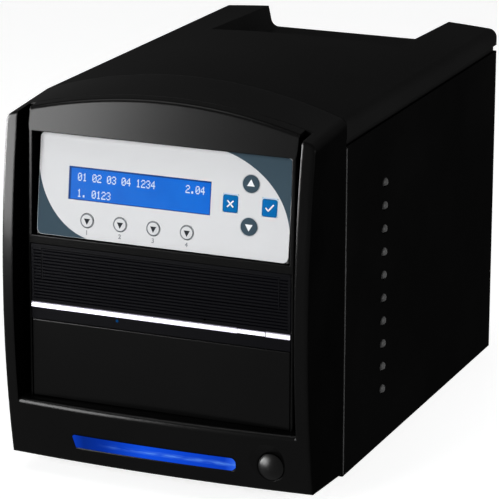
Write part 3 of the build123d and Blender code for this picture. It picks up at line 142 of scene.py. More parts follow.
def mottled(tree, dark, light, size_mm):
    """A colour that wanders between two close tones over patches size_mm across."""
    place = add_node(tree, "TexCoord").outputs["Object"]
    noise = add_node(tree, "TexNoise", {"Vector": place, "Scale": 1 / (size_mm * MM), "Detail": 3.0})
    ramp = add_node(tree, "ValToRGB", {"Fac": noise.outputs["Fac"]})
    ramp.color_ramp.elements[0].position = MOTTLED_FROM
    ramp.color_ramp.elements[1].position = MOTTLED_TO
    ramp.color_ramp.elements[0].color = srgb(dark)
    ramp.color_ramp.elements[1].color = srgb(light)
    return ramp.outputs["Color"]


def uneven(tree, low, high, size_mm):
    """A roughness that wanders between two values, as handling and moulding leave it."""
    place = add_node(tree, "TexCoord").outputs["Object"]
    noise = add_node(tree, "TexNoise", {"Vector": place, "Scale": 1 / (size_mm * MM), "Detail": 4.0})
    spread = add_node(
        tree, "MapRange", {"Value": noise.outputs["Fac"], "To Min": low, "To Max": high}
    )
    return spread.outputs["Result"]


# ------------------------------------------------------------------ materials
def moulded_plastic(name, dark, light, rough, sheen, grain_mm, depth_mm, edge_mm=0.0, fade=None):
    """Moulded ABS: spark-eroded grain over a black that wanders a little, under a thin sheen.

    A fade gives the share of the sheen that each place keeps.
    """
    material, tree, output = new_material(name)
    relief = grain(tree, grain_mm, depth_mm, edge_mm)
    if fade:
        sheen = add_node(tree, "MapRange", {"Value": fade(tree), "To Max": sheen}).outputs["Result"]
    shader = add_node(
        tree,
        "BsdfPrincipled",
        {
            "Base Color": mottled(tree, dark, light, size_mm=45.0),
            "Roughness": uneven(tree, rough - 0.04, rough + 0.04, size_mm=30.0),
            "Specular IOR Level": 0.0,
            "Coat Weight": sheen,
            "Coat Roughness": rough,
            "Normal": relief,
            "Coat Normal": relief,
        },
    )
    tree.links.new(shader.outputs["BSDF"], output.inputs["Surface"])
    return material


SIDE_ON = -0.2  # Y of a wall's normal where the front's polish begins, and where it is full
HEAD_ON = -0.85
UPWARD_SHARE = 0.6


def polished_front(tree):
    """The mould is polished for the front, coarser for what faces up and dull on the side walls."""
    wall = add_node(tree, "NewGeometry")
    facing = add_node(tree, "SeparateXYZ", {"Vector": wall.outputs["Normal"]})
    front = add_node(
        tree, "MapRange", {"Value": facing.outputs["Y"], "From Min": SIDE_ON, "From Max": HEAD_ON}
    )
    upward = add_node(tree, "Math", {0: facing.outputs["Z"], 1: UPWARD_SHARE}, operation="MULTIPLY")
    return add_node(
        tree,
        "Math",
        {0: front.outputs["Result"], 1: upward.outputs["Value"]},
        operation="MAXIMUM",
    ).outputs["Value"]


RIB_DULL = FACE_Y + 0.3 * MM  # depths between which a rib's front turns into its groove
RIB_BRIGHT = FACE_Y + 0.1 * MM


def groove_shade(tree):
    """The ribs' fronts keep the sheen, and the grooves between them lose it, as painted shade between the
    ribs.
    """
    place = add_node(tree, "TexCoord").outputs["Object"]
    apart = add_node(tree, "SeparateXYZ", {"Vector": place})
    return add_node(
        tree, "MapRange", {"Value": apart.outputs["Y"], "From Min": RIB_DULL, "From Max": RIB_BRIGHT}
    ).outputs["Result"]


# satin ABS of the bezel: a soft sheen along its rounded edges, no grain seen from arm's length
bezel_abs = moulded_plastic(
    "satin_moulded_abs", "#050505", "#070707", 0.2, 0.09, 0.6, 0.003, 1.5, polished_front
)
# the same satin on the smaller mouldings, with tighter edges
trim_abs = moulded_plastic(
    "fine_satin_abs", "#050505", "#070707", 0.2, 0.09, 0.6, 0.003, 0.8, polished_front
)
# textured ABS of the lid: the same black with a coarser, duller grain
lid_abs = moulded_plastic("textured_moulded_abs", "#090909", "#0B0B0B", 0.45, 0.03, 0.8, 0.012, 1.0)
# half-gloss fascia of the drive, a black with a hint of violet, its grooves dulled as painted shade
fascia_abs = moulded_plastic(
    "half_gloss_fascia_abs", "#050508", "#07070A", 0.28, 0.055, 0.5, 0.002, 0.0, groove_shade
)
# polished button of the same plastic: one soft highlight on its dome
button_abs = moulded_plastic("polished_button_abs", "#060606", "#080808", 0.36, 0.15, 0.5, 0.001, 0.5)
# dull technical plastics inside and at the back: flat dark greys with a wide, weak sheen
black_nylon = moulded_plastic("black_glass_filled_nylon", "#121212", "#171717", 0.5, 0.3, 0.5, 0.01)
loader_abs = moulded_plastic("dark_grey_loader_abs", "#1B1C1D", "#222324", 0.42, 0.4, 0.6, 0.008)
# natural acetal: waxy off-white gear and turntable
natural_acetal = moulded_plastic("natural_acetal", "#DAD7CC", "#E2DFD6", 0.35, 0.8, 0.8, 0.003)


def powder_coat(name, dark, light, rough, sheen):
    """Baked powder paint on steel: orange peel about 1.5 mm across under a fine dust of grain."""
    material, tree, output = new_material(name)
    place = add_node(tree, "TexCoord").outputs["Object"]
    peel = add_node(tree, "TexNoise", {"Vector": place, "Scale": 1 / (1.5 * MM), "Detail": 1.0})
    dust = add_node(tree, "TexVoronoi", {"Vector": place, "Scale": 1 / (0.5 * MM)})
    first = add_node(
        tree, "Bump", {"Height": dust.outputs["Distance"], "Distance": 0.006 * MM, "Strength": 0.6}
    )
    second = add_node(
        tree,
        "Bump",
        {
            "Height": peel.outputs["Fac"],
            "Distance": 0.02 * MM,
            "Strength": 0.7,
            "Normal": first.outputs["Normal"],
        },
    )
    shader = add_node(
        tree,
        "BsdfPrincipled",
        {
            "Base Color": mottled(tree, dark, light, size_mm=60.0),
            "Roughness": uneven(tree, rough - 0.03, rough + 0.05, size_mm=40.0),
            "Specular IOR Level": 0.0,
            "Coat Weight": sheen,
            "Coat Roughness": rough,
            "Normal": second.outputs["Normal"],
            "Coat Normal": second.outputs["Normal"],
        },
    )
    tree.links.new(shader.outputs["BSDF"], output.inputs["Surface"])
    return material


# black powder coat of the case: a deep, even black with hardly any shine
case_paint = powder_coat("black_powder_coat", "#020202", "#040404", 0.5, 0.012)
# the same paint made paler and shinier where the sheet is pressed out or rolled over, as a painted
# highlight on the vent hoods and hems
pale_highlight_paint = powder_coat("powder_coat_painted_pale_as_highlight", "#303030", "#424242", 0.4, 0.15)


def sheet_metal(name, colour, rough, brush_mm, spangle=0.0):
    """Bright metal: rolling lines along Y and, on zinc, the faint patches of its crystals."""
    material, tree, output = new_material(name)
    place = add_node(tree, "TexCoord").outputs["Object"]
    fine, long = 1 / (brush_mm * MM), 1 / (50 * MM)
    drawn = add_node(tree, "Mapping", {"Vector": place, "Scale": (fine, long, fine)})
    lines = add_node(tree, "TexNoise", {"Vector": drawn.outputs["Vector"], "Scale": 1.0, "Detail": 2.0})
    crystals = add_node(tree, "TexVoronoi", {"Vector": place, "Scale": 1 / (9.0 * MM)})
    patches = add_node(
        tree,
        "MapRange",
        {"Value": crystals.outputs["Distance"], "To Min": rough, "To Max": rough + spangle},
    )
    relief = add_node(
        tree, "Bump", {"Height": lines.outputs["Fac"], "Distance": 0.004 * MM, "Strength": 0.5}
    )
    shader = add_node(
        tree,
        "BsdfPrincipled",
        {
            "Base Color": srgb(colour),
            "Metallic": 1.0,
            "Roughness": patches.outputs["Result"],
            "Normal": relief.outputs["Normal"],
        },
    )
    tree.links.new(shader.outputs["BSDF"], output.inputs["Surface"])
    return material


# galvanised sheet: dull silver, its sheen broken up by zinc crystals about 9 mm across
zinc_sheet = sheet_metal("galvanised_steel_sheet", "#B4B7BA", 0.34, 0.5, 0.18)
# nickel plating on wire, pins and screws: smooth and bright, a little warm
plated_wire = sheet_metal("nickel_plated_steel", "#C9C8C4", 0.16, 0.3)
# die-cast aluminium of the hard drive: grey and matt, with a coarse skin
cast_aluminium = sheet_metal("cast_aluminium", "#9EA0A2", 0.45, 0.8, 0.1)


def anodised_trim():
    """Bright anodised strip: silver with a cold cast, rolled over at its upper edge; its colour holds a
    painted highlight along the middle and painted shade at both edges, darkest at the top.
    """
    material, tree, output = new_material("bright_anodised_trim")
    place = add_node(tree, "TexCoord").outputs["Object"]
    apart = add_node(tree, "SeparateXYZ", {"Vector": place})
    height = add_node(
        tree, "MapRange", {"Value": apart.outputs["Z"], "From Min": STRIP_LOW, "From Max": STRIP_TOP}
    )
    # painted light across the strip's height: a little painted shade at its foot, a painted highlight
    # over the middle, painted shade deepening over the rolled upper edge
    painted_highlight_and_shade = add_node(tree, "ValToRGB", {"Fac": height.outputs["Result"]})
    painted_highlight_and_shade.color_ramp.elements[0].color = srgb("#B9B4C9")
    painted_highlight_and_shade.color_ramp.elements[1].color = srgb("#2B2A30")
    for share, colour in ((0.18, "#F4F2FA"), (0.66, "#EFECF8"), (0.84, "#77747F")):
        painted_highlight_and_shade.color_ramp.elements.new(share).color = srgb(colour)
    shader = add_node(
        tree,
        "BsdfPrincipled",
        {
            "Base Color": painted_highlight_and_shade.outputs["Color"],
            "Metallic": 1.0,
            "Roughness": uneven(tree, 0.2, 0.28, size_mm=20.0),
            "Normal": grain(tree, 0.5, 0.002),
        },
    )
    tree.links.new(shader.outputs["BSDF"], output.inputs["Surface"])
    return material


bright_trim = anodised_trim()


def printed(name, colour):
    """Screen-printed ink under a polycarbonate film: an even, matt colour with an eggshell relief."""
    material, tree, output = new_material(name)
    shader = add_node(
        tree,
        "BsdfPrincipled",
        {
            "Base Color": srgb(colour),
            "Roughness": uneven(tree, 0.37, 0.43, size_mm=12.0),
            "Specular IOR Level": 0.0,
            "IOR": 1.58,
            "Normal": grain(tree, 0.25, 0.002),
        },
    )
    tree.links.new(shader.outputs["BSDF"], output.inputs["Surface"])
    return material


# the inks: the film's own pale grey, the slate of its corners and round keys, and the marks' colours
pale_ink = printed("pale_grey_polycarbonate_film", "#DADBDD")
slate_ink = printed("slate_printing", "#3F505B")
dark_ink = printed("dark_grey_printing", "#2C3034")
white_ink = printed("white_printing", "#F4F6F8")
grey_ink = printed("mid_grey_printing", "#84898E")
blue_ink = printed("blue_printing", "#0F68AC")
halo_ink = printed("pale_blue_printing", "#B9D3E6")
mist_ink = printed("mist_grey_printing", "#C3C7CB")


def lit(name, dim, bright, strength):
    """Glass lit from behind: the light wanders between two tones over an almost black surface."""
    material, tree, output = new_material(name)
    shader = add_node(
        tree,
        "BsdfPrincipled",
        {
            "Base Color": srgb("#02060C"),
            "Roughness": uneven(tree, 0.3, 0.36, size_mm=15.0),
            "Specular IOR Level": 0.0,
            "Emission Color": mottled(tree, dim, bright, size_mm=14.0),
            "Emission Strength": strength,
        },
    )
    tree.links.new(shader.outputs["BSDF"], output.inputs["Surface"])
    return material


# the display: an even blue field, its shaded edge, its pale dots, and the drive's small lamp
display_blue = lit("backlit_display_blue", "#0568D4", "#0A6EDA", 0.97)
display_edge = lit("display_edge_in_shade", "#07428F", "#094999", 0.8)
display_dots = lit("backlit_display_dots", "#D3E6FB", "#E2EFFC", 0.95)
lamp_blue = lit("blue_lamp_lens", "#0D62B4", "#1570C4", 0.3)


def light_pipe():
    """Blue acrylic light pipe: dim at its left end, brightest over its lamps, with a hot streak."""
    material, tree, output = new_material("blue_acrylic_light_pipe")
    place = add_node(tree, "TexCoord").outputs["Object"]
    apart = add_node(tree, "SeparateXYZ", {"Vector": place})
    along = add_node(
        tree, "MapRange", {"Value": apart.outputs["X"], "From Min": PIPE_LEFT, "From Max": PIPE_RIGHT}
    )
    body = add_node(tree, "ValToRGB", {"Fac": along.outputs["Result"]})
    body.color_ramp.elements[0].color = srgb("#0B3AB6")
    body.color_ramp.elements[1].color = srgb("#2C63EC")
    for share, colour in ((0.07, "#072A88"), (0.2, "#0831A0"), (0.45, "#1150E6"), (0.94, "#0C3FC6")):
        body.color_ramp.elements.new(share).color = srgb(colour)
    height = add_node(
        tree, "MapRange", {"Value": apart.outputs["Z"], "From Min": PIPE_LOW, "From Max": PIPE_TOP}
    )
    across = add_node(tree, "ValToRGB", {"Fac": height.outputs["Result"]})
    across.color_ramp.elements[0].position = 0.3
    across.color_ramp.elements[0].color = BLACK
    across.color_ramp.elements[1].position = 0.52
    across.color_ramp.elements[1].color = WHITE
    across.color_ramp.elements.new(0.78).color = BLACK
    drawn = add_node(tree, "Mapping", {"Vector": place, "Scale": (1 / (7 * MM), 1.0, 1 / (1.5 * MM))})
    spots = add_node(tree, "TexNoise", {"Vector": drawn.outputs["Vector"], "Scale": 1.0, "Detail": 2.0})
    sparkle = add_node(
        tree, "MapRange", {"Value": spots.outputs["Fac"], "From Min": 0.35, "From Max": 0.75}
    )
    reach = add_node(tree, "ValToRGB", {"Fac": along.outputs["Result"]})
    reach.color_ramp.elements[0].position = 0.15
    reach.color_ramp.elements[0].color = BLACK
    reach.color_ramp.elements[1].position = 0.5
    reach.color_ramp.elements[1].color = WHITE
    streak = add_node(
        tree,
        "Math",
        {0: across.outputs["Color"], 1: sparkle.outputs["Result"]},
        operation="MULTIPLY",
    )
    shown = add_node(
        tree,
        "Math",
        {0: streak.outputs["Value"], 1: reach.outputs["Color"]},
        operation="MULTIPLY",
    )
    colour = add_node(
        tree,
        "Mix",
        {"Factor": shown.outputs["Value"], 6: body.outputs["Color"], 7: srgb("#5F97FA")},
        data_type="RGBA",
    )
    shader = add_node(
        tree,
        "BsdfPrincipled",
        {
            "Base Color": srgb("#02061C"),
            "Roughness": 0.3,
            "Specular IOR Level": 0.0,
            "Emission Color": colour.outputs[2],
            "Emission Strength": 0.92,
        },
    )
    tree.links.new(shader.outputs["BSDF"], output.inputs["Surface"])
    return material


pipe_acrylic = light_pipe()


def clear_window():
    """Clear polycarbonate over the display: it lets the light through and keeps a thin gloss."""
    material, tree, output = new_material("clear_polycarbonate")
    clear = add_node(tree, "BsdfTransparent", {"Color": (0.96, 0.98, 1.0, 1.0)})
    gloss = add_node(
        tree, "BsdfGlossy", {"Roughness": 0.3, "Color": WHITE, "Normal": grain(tree, 0.4, 0.0004)}
    )
    rim = add_node(tree, "Fresnel", {"IOR": 1.06})  # low, so that its gloss doesn't wash the blue out
    both = add_node(
        tree, "MixShader", {0: rim.outputs["Fac"], 1: clear.outputs["BSDF"], 2: gloss.outputs["BSDF"]}
    )
    tree.links.new(both.outputs["Shader"], output.inputs["Surface"])
    return material


window_clear = clear_window()


def circuit_board():
    """Green solder mask over copper: tracks show as slightly paler lines, in rows 2.5 mm apart."""
    material, tree, output = new_material("green_solder_mask")
    place = add_node(tree, "TexCoord").outputs["Object"]
    tracks = add_node(
        tree,
        "TexBrick",
        {
            "Vector": place,
            "Scale": 1 / (10 * MM),  # a row is a quarter of this
            "Mortar Size": 0.03,
            "Color1": srgb("#0F4A2A"),
            "Color2": srgb("#11502E"),
            "Mortar": srgb("#1B6B3E"),
        },
    )
    shader = add_node(
        tree,
        "BsdfPrincipled",
        {
            "Base Color": tracks.outputs["Color"],
            "Roughness": uneven(tree, 0.25, 0.35, size_mm=10.0),
            "Normal": grain(tree, 1.2, 0.01),
        },
    )
    tree.links.new(shader.outputs["BSDF"], output.inputs["Surface"])
    return material


board_green = circuit_board()


def soft_rubber():
    """Moulded rubber feet: dull grey-black, dusty on its skin."""
    material, tree, output = new_material("moulded_rubber")
    shader = add_node(
        tree,
        "BsdfPrincipled",
        {
            "Base Color": mottled(tree, "#161616", "#1F1E1D", size_mm=4.0),
            "Roughness": uneven(tree, 0.7, 0.85, size_mm=5.0),
            "Normal": grain(tree, 0.4, 0.02),
        },
    )
    tree.links.new(shader.outputs["BSDF"], output.inputs["Surface"])
    return material


foot_rubber = soft_rubber()

finishes = {
    bezel_abs: ("front_bezel",),
    trim_abs: ("centre_frame", "bay_cover"),
    lid_abs: ("lid",),
    fascia_abs: ("drive_fascia", "tray_door"),
    button_abs: ("power_button",),
    case_paint: ("base_pan", "rear_panel", "left_side_panel", "right_side_panel"),
    zinc_sheet: (
        "front_plate",
        "top_plate",
        "drive_bay",
        "disk_bracket",
        "drive_shell",
        "supply_case",
        "case_screws",
    ),
    plated_wire: ("fan_guard", "fan_screws", "inlet_pins", "sled_rods", "spindle_motor", "loading_motor"),
    cast_aluminium: ("hard_drive",),
    bright_trim: ("bright_strip", "eject_button"),
    pale_ink: ("keypad_film",),
    display_blue: ("lcd_glass",),
    window_clear: ("lcd_window",),
    lamp_blue: ("drive_lamp",),
    pipe_acrylic: ("light_bar",),
    board_green: ("lcd_board", "key_board", "front_board", "controller_board"),
    loader_abs: ("loader_frame", "disc_tray", "laser_sled"),
    natural_acetal: ("tray_gear", "turntable"),
    foot_rubber: ("feet",),
    black_nylon: (
        "keypad_carrier",
        "key_switches",
        "fan_frame",
        "fan_rotor",
        "supply_fan_frame",
        "supply_fan_rotor",
        "mains_inlet",
        "rocker_frame",
        "mains_rocker",
        "data_cable",
    ),
}
for material, names in finishes.items():
    for name in names:
        nodes[name].data.materials.clear()
        nodes[name].data.materials.append(material)


# ------------------------------------------------------------------ new pieces
SAME_PLACE = 1e-7


def piece(name, shape, material, body, crease=32.0):
    """Turns a finished bmesh into a piece that rides on a body; edges past the crease stay sharp."""
    bmesh.ops.remove_doubles(shape, verts=shape.verts, dist=SAME_PLACE)
    bmesh.ops.recalc_face_normals(shape, faces=shape.faces)
    for face in shape.faces:
        face.smooth = True
    for edge in shape.edges:
        if len(edge.link_faces) == 2 and edge.calc_face_angle(0) > math.radians(crease):
            edge.smooth = False
    mesh = bpy.data.meshes.new(name)
    shape.to_mesh(mesh)
    shape.free()
    mesh.materials.append(material)
    made = bpy.data.objects.new(name, mesh)
    bpy.context.scene.collection.objects.link(made)
    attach(made, body)
    return made


def points_of(made):
    """The vertices among what an extrusion gives back."""
    return [part for part in made if isinstance(part, bmesh.types.BMVert)]


def merge(target, source):
    """Moves one bmesh's shape into another."""
    carrier = bpy.data.meshes.new("carrier")
    source.to_mesh(carrier)
    source.free()
    target.from_mesh(carrier)
    bpy.data.meshes.remove(carrier)


NEAR_TOP = 0.9  # share of a cap's thickness above which its edges are the front ones


def disc(radius, thick, edge, segments=64):
    """A round cap whose back lies at 0 and whose front edge is rounded."""
    shape = bmesh.new()
    bmesh.ops.create_cone(
        shape,
        cap_ends=True,
        segments=segments,
        radius1=radius,
        radius2=radius,
        depth=thick,
        matrix=Matrix.Translation((0, 0, thick / 2)),
    )
    rim = [e for e in shape.edges if all(v.co.z > thick * NEAR_TOP for v in e.verts)]
    round_edges(shape, rim, edge)
    return shape


def block(wide, tall, thick, corner, edge):
    """A block with rounded corners whose back lies at 0 and whose front edge is rounded."""
    shape = bmesh.new()
    bmesh.ops.create_cube(
        shape,
        size=1.0,
        matrix=Matrix.Translation((0, 0, thick / 2)) @ Matrix.Diagonal((wide, tall, thick, 1)),
    )
    upright = [e for e in shape.edges if abs(e.verts[0].co.z - e.verts[1].co.z) > thick / 2]
    round_edges(shape, upright, corner)
    rim = [e for e in shape.edges if all(v.co.z > thick * NEAR_TOP for v in e.verts)]
    round_edges(shape, rim, edge)
    return shape


def round_edges(shape, edges, radius, segments=4):
    """Bevels edges to a round of the given radius."""
    if radius > 0:
        bmesh.ops.bevel(
            shape,
            geom=edges,
            offset=radius,
            offset_type="OFFSET",
            segments=segments,
            profile=0.5,
            affect="EDGES",
            material=-1,
            clamp_overlap=True,
        )


def ring(outer, inner, thick, segments=72):
    """A flat ring with its back at 0."""
    shape = bmesh.new()
    start = shape.verts.new((inner, 0, 0))
    end = shape.verts.new((outer, 0, 0))
    line = shape.edges.new((start, end))
    raised = bmesh.ops.extrude_edge_only(shape, edges=[line])["geom"]
    bmesh.ops.translate(shape, verts=points_of(raised), vec=(0, 0, thick))
    bmesh.ops.spin(
        shape,
        geom=shape.verts[:] + shape.edges[:] + shape.faces[:],
        cent=(0, 0, 0),
        axis=(0, 0, 1),
        angle=math.tau,
        steps=segments,
        use_merge=True,
    )
    return shape


def thicken(shape, faces, thick):
    """Gives a flat sheet its thickness, upwards from where it lies."""
    raised = bmesh.ops.extrude_face_region(shape, geom=faces)["geom"]
    bmesh.ops.translate(shape, verts=points_of(raised), vec=(0, 0, thick))


def plate(points, thick):
    """A flat shape with its back at 0, from its corners in order."""
    shape = bmesh.new()
    face = shape.faces.new([shape.verts.new((x, y, 0)) for x, y in points])
    thicken(shape, [face], thick)
    return shape


def placed(shape, place):
    """Moves a finished shape to its place."""
    bmesh.ops.transform(shape, matrix=place, verts=shape.verts)
    return shape


def on_panel(u, v, w=0.0, turn=0.0):
    """A place on the keypad panel, w out of its face, turned about its own normal."""
    return PANEL @ Matrix.Translation((u, v, w)) @ Matrix.Rotation(turn, 4, "Z")


def triangle(half_base, height, thick):
    """A triangle pointing up its plane, centred on its middle."""
    return plate([(-half_base, -height / 3), (half_base, -height / 3), (0, height * 2 / 3)], thick)


def bar(start, end, wide, thick):
    """A straight stroke between two points of a plane."""
    a, b = Vector(start), Vector(end)
    side = (b - a).orthogonal().normalized() * wide / 2
    return plate([(a + side)[:], (b + side)[:], (b - side)[:], (a - side)[:]], thick)


# printed slate corners of the film, each bounded by an arc of an ellipse
ARC_STEPS = 48
ROUND_STEPS = 6


def arc_corner(name, centre, half_sizes, corner, first, last):
    """The part of the film's corner outside an ellipse, from one angle to the other."""
    angles = [math.radians(first + (last - first) * n / ARC_STEPS) for n in range(ARC_STEPS + 1)]
    points = [
        (centre[0] + half_sizes[0] * math.cos(a), centre[1] + half_sizes[1] * math.sin(a))
        for a in angles
    ]
    piece(name, placed(plate(points + corner, INK), on_panel(0, 0)), slate_ink, "case")


def rounded_end(corner_x, corner_y, radius, start, end):
    """The arc round one outside corner of the film, from one angle to the other."""
    angles = [math.radians(start + (end - start) * n / ROUND_STEPS) for n in range(ROUND_STEPS + 1)]
    return [(corner_x + radius * math.cos(a), corner_y + radius * math.sin(a)) for a in angles]


EDGE = 0.15 * MM  # bare edge round the printing
CORNER = 3.0 * MM  # round of the film's corners
right, top = PANEL_HALF - EDGE, PANEL_RISE - EDGE
left, low = -right, EDGE
upper_centre = (15.9 * MM, 12.2 * MM)
upper_half = (55.8 * MM, 44.6 * MM)
lower_centre = (-35.1 * MM, 42.9 * MM)
lower_half = (36.9 * MM, 43.6 * MM)
arc_corner(
    "film_corner_upper",
    upper_centre,
    upper_half,
    list(reversed(rounded_end(right - CORNER, top - CORNER, CORNER, 0, 90))),
    math.degrees(math.acos(min(1.0, (right - upper_centre[0]) / upper_half[0]))),
    math.degrees(math.asin((top - upper_centre[1]) / upper_half[1])),
)
arc_corner(
    "film_corner_lower",
    lower_centre,
    lower_half,
    list(reversed(rounded_end(left + CORNER, low + CORNER, CORNER, 180, 270))),
    180 + math.degrees(math.acos((lower_centre[0] - left) / lower_half[0])),
    180 + math.degrees(math.asin((lower_centre[1] - low) / lower_half[1])),
)

PLAY = 0.3 * MM  # between a key's cap and the printing round it


def rounded_outline(wide, tall, radius, rise=0.0):
    """The corners of a rectangle with rounded corners, in order."""
    points = []
    for side, up, start in ((1, 1, 0), (-1, 1, 90), (-1, -1, 180), (1, -1, 270)):
        corner_x = side * (wide / 2 - radius)
        corner_y = up * (tall / 2 - radius) + rise
        points += rounded_end(corner_x, corner_y, radius, start, start + 90)
    return points


def collar(outer, rise, inner, radius, thick):
    """A flat rim between two rounded rectangles, with its back at 0."""
    shape = bmesh.new()
    loops = []
    for size, lift in ((outer, rise), (inner, 0.0)):
        corners = [shape.verts.new((x, y, 0)) for x, y in rounded_outline(*size, radius, lift)]
        loops += [
            shape.edges.new((a, b)) for a, b in zip(corners, corners[1:] + corners[:1], strict=True)
        ]
    rim = bmesh.ops.bridge_loops(shape, edges=loops)["faces"]
    thicken(shape, rim, thick)
    return shape


# key caps: pressed film domes with rounded rims, in place of the plain caps
CAP_THICK = 1.7 * MM
CAP_PROUD = 0.3 * MM
CAP_BACK = CAP_PROUD - CAP_THICK
CAP_SHRINK = 0.1 * MM  # the small caps are printed a little inside their edge
ROUND_R = 4.6 * MM
SMALL_R = 3.9 * MM
SQUARE = (8.2 * MM, 8.9 * MM)
SQUARE_HOLE = (9.1 * MM, 10.1 * MM)
SQUARE_ROUND = 1.3 * MM
SQUARE_DROP = 0.3 * MM  # the printed blue sits a little low on its key
CAP_EDGE = 0.25 * MM
ROUND_MARK = (2.1 * MM, 3.6 * MM)  # half base and height of an arrow head
SMALL_MARK = (1.75 * MM, 3.2 * MM)
HALO = (0.5 * MM, 0.08 * MM)  # a printed halo's rims outside a round key
RIM = (0.15 * MM, 0.7 * MM)  # a printed rim's edges inside a small key
STROKE = 0.75 * MM
CROSS_ARM = 1.7 * MM
TICK_SHORT = ((-2.2 * MM, 0.1 * MM), (-0.6 * MM, -1.6 * MM))
TICK_LONG = ((-0.9 * MM, -1.7 * MM), (2.2 * MM, 1.9 * MM))

for name, rise, turn in (("up_key", CROSS_RISE, 0.0), ("down_key", -CROSS_RISE, math.pi)):
    u, v = CROSS[0], CROSS[1] + rise
    cap = placed(disc(ROUND_R, CAP_THICK, CAP_EDGE), on_panel(u, v, CAP_BACK))
    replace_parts(piece(f"{name}_cap", cap, slate_ink, name), name)
    mark = placed(triangle(*ROUND_MARK, INK), on_panel(u, v, CAP_PROUD, turn))
    piece(f"{name}_mark", mark, white_ink, name)
    halo = placed(ring(ROUND_R + HALO[0], ROUND_R + HALO[1], INK), on_panel(u, v))
    piece(f"{name}_halo", halo, mist_ink, "case")

cross_mark = bmesh.new()
for end in (-CROSS_ARM, CROSS_ARM):
    merge(cross_mark, bar((-CROSS_ARM, -end), (CROSS_ARM, end), STROKE, INK))
tick_mark = bmesh.new()
for start, end in (TICK_SHORT, TICK_LONG):
    merge(tick_mark, bar(start, end, STROKE, INK))
for name, side, mark in (("cancel_key", -1, cross_mark), ("enter_key", 1, tick_mark)):
    u, v = CROSS[0] + side * CROSS_SIDE, CROSS[1] - SQUARE_DROP
    cap = placed(block(*SQUARE, CAP_THICK, SQUARE_ROUND, CAP_EDGE), on_panel(u, v, CAP_BACK))
    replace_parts(piece(f"{name}_cap", cap, blue_ink, name), name)
    piece(f"{name}_mark", placed(mark, on_panel(u, v, CAP_PROUD)), white_ink, name)
    halo = collar(SQUARE_HOLE, SQUARE_DROP, (SQUARE[0] + PLAY, SQUARE[1] + PLAY), SQUARE_ROUND, INK)
    piece(f"{name}_halo", placed(halo, on_panel(u, v)), halo_ink, "case")


LETTER_FACTOR = 1.37  # a letter's size over the height of its digits
LETTER_WEIGHT = 0.02  # how far its strokes are widened, as a share of the height


def digit_mesh(text, height, thick):
    """A printed number as a bmesh, centred on its plane."""
    letters = bpy.data.curves.new("letters", "FONT")
    letters.body = text
    letters.size = height * LETTER_FACTOR
    letters.align_x = "CENTER"
    letters.align_y = "CENTER"
    letters.extrude = thick / 2
    letters.offset = height * LETTER_WEIGHT
    writer = bpy.data.objects.new("letters", letters)
    bpy.context.scene.collection.objects.link(writer)
    bpy.context.view_layer.update()
    mesh = bpy.data.meshes.new_from_object(writer.evaluated_get(bpy.context.evaluated_depsgraph_get()))
    shape = bmesh.new()
    shape.from_mesh(mesh)
    bpy.data.objects.remove(writer)
    bpy.data.curves.remove(letters)
    bpy.data.meshes.remove(mesh)
    bmesh.ops.translate(shape, verts=shape.verts, vec=(0, 0, thick / 2))
    return shape


for n in range(4):
    name = f"row_key_{n + 1}"
    u = ROW_FIRST + n * ROW_PITCH
    cap = placed(disc(SMALL_R - CAP_SHRINK, CAP_THICK, CAP_EDGE), on_panel(u, ROW_V, CAP_BACK))
    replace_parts(piece(f"{name}_cap", cap, pale_ink, name), name)
    mark = placed(triangle(*SMALL_MARK, INK), on_panel(u, ROW_V, CAP_PROUD, math.pi))
    piece(f"{name}_mark", mark, dark_ink, name)
    rim = placed(ring(SMALL_R - RIM[0], SMALL_R - RIM[1], INK), on_panel(u, ROW_V, CAP_PROUD))
    piece(f"{name}_ring", rim, grey_ink, name)
    label = placed(digit_mesh(str(n + 1), LABEL_TALL, INK), on_panel(u, LABEL_V))
    piece(f"{name}_label", label, grey_ink, "case", 180.0)

# pressed hoods over the round vents of both side panels, open underneath, in paint painted pale as their
# highlights
HOOD = Vector((1.4, 3.6, 2.7)) * MM  # half sizes: proud, along the case, upwards
HOOD_DROP = HOOD.z * 0.35  # its open edge below its middle
HOOD_WALL = 0.4 * MM
VENTS = 10
VENT_Y = FACE_Y + 102.0 * MM
VENT_TOP = 153.7 * MM
VENT_PITCH = 13.0 * MM
hoods = bmesh.new()
for side in (-1, 1):
    for n in range(VENTS):
        hood = bmesh.new()
        bmesh.ops.create_uvsphere(
            hood, u_segments=20, v_segments=12, radius=1.0, matrix=Matrix.Diagonal((*HOOD, 1))
        )
        for point, normal in (((0, 0, 0), (-side, 0, 0)), ((0, 0, -HOOD_DROP), (0, 0, -1))):
            bmesh.ops.bisect_plane(
                hood,
                geom=hood.verts[:] + hood.edges[:] + hood.faces[:],
                plane_co=point,
                plane_no=normal,
                clear_outer=True,
            )
        bmesh.ops.recalc_face_normals(hood, faces=hood.faces)
        bmesh.ops.solidify(hood, geom=hood.faces[:], thickness=HOOD_WALL)
        place = Matrix.Translation((side * SIDE_X, VENT_Y, VENT_TOP - n * VENT_PITCH))
        merge(hoods, placed(hood, place))
piece("side_vent_hoods", hoods, pale_highlight_paint, "case")

# the side panels' front edges, rolled over, in paint painted pale as a highlight line
HEM_R = 0.7 * MM
HEM_PROUD = 0.35 * MM
HEM_SHORT = 1.0 * MM  # at each end, off the lid and off the panel's lower edge
panel_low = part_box("right_side_panel")[0]
hem_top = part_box("lid")[0].z - HEM_SHORT
hem_tall = hem_top - panel_low.z - HEM_SHORT
hems = bmesh.new()
for side in (-1, 1):
    hem = bmesh.new()
    bmesh.ops.create_cone(
        hem, cap_ends=True, segments=16, radius1=HEM_R, radius2=HEM_R, depth=hem_tall
    )
    middle = Vector((side * (SIDE_X + HEM_PROUD - HEM_R), panel_low.y + HEM_R, hem_top - hem_tall / 2))
    merge(hems, placed(hem, Matrix.Translation(middle)))
piece("side_panel_hems", hems, pale_highlight_paint, "case")

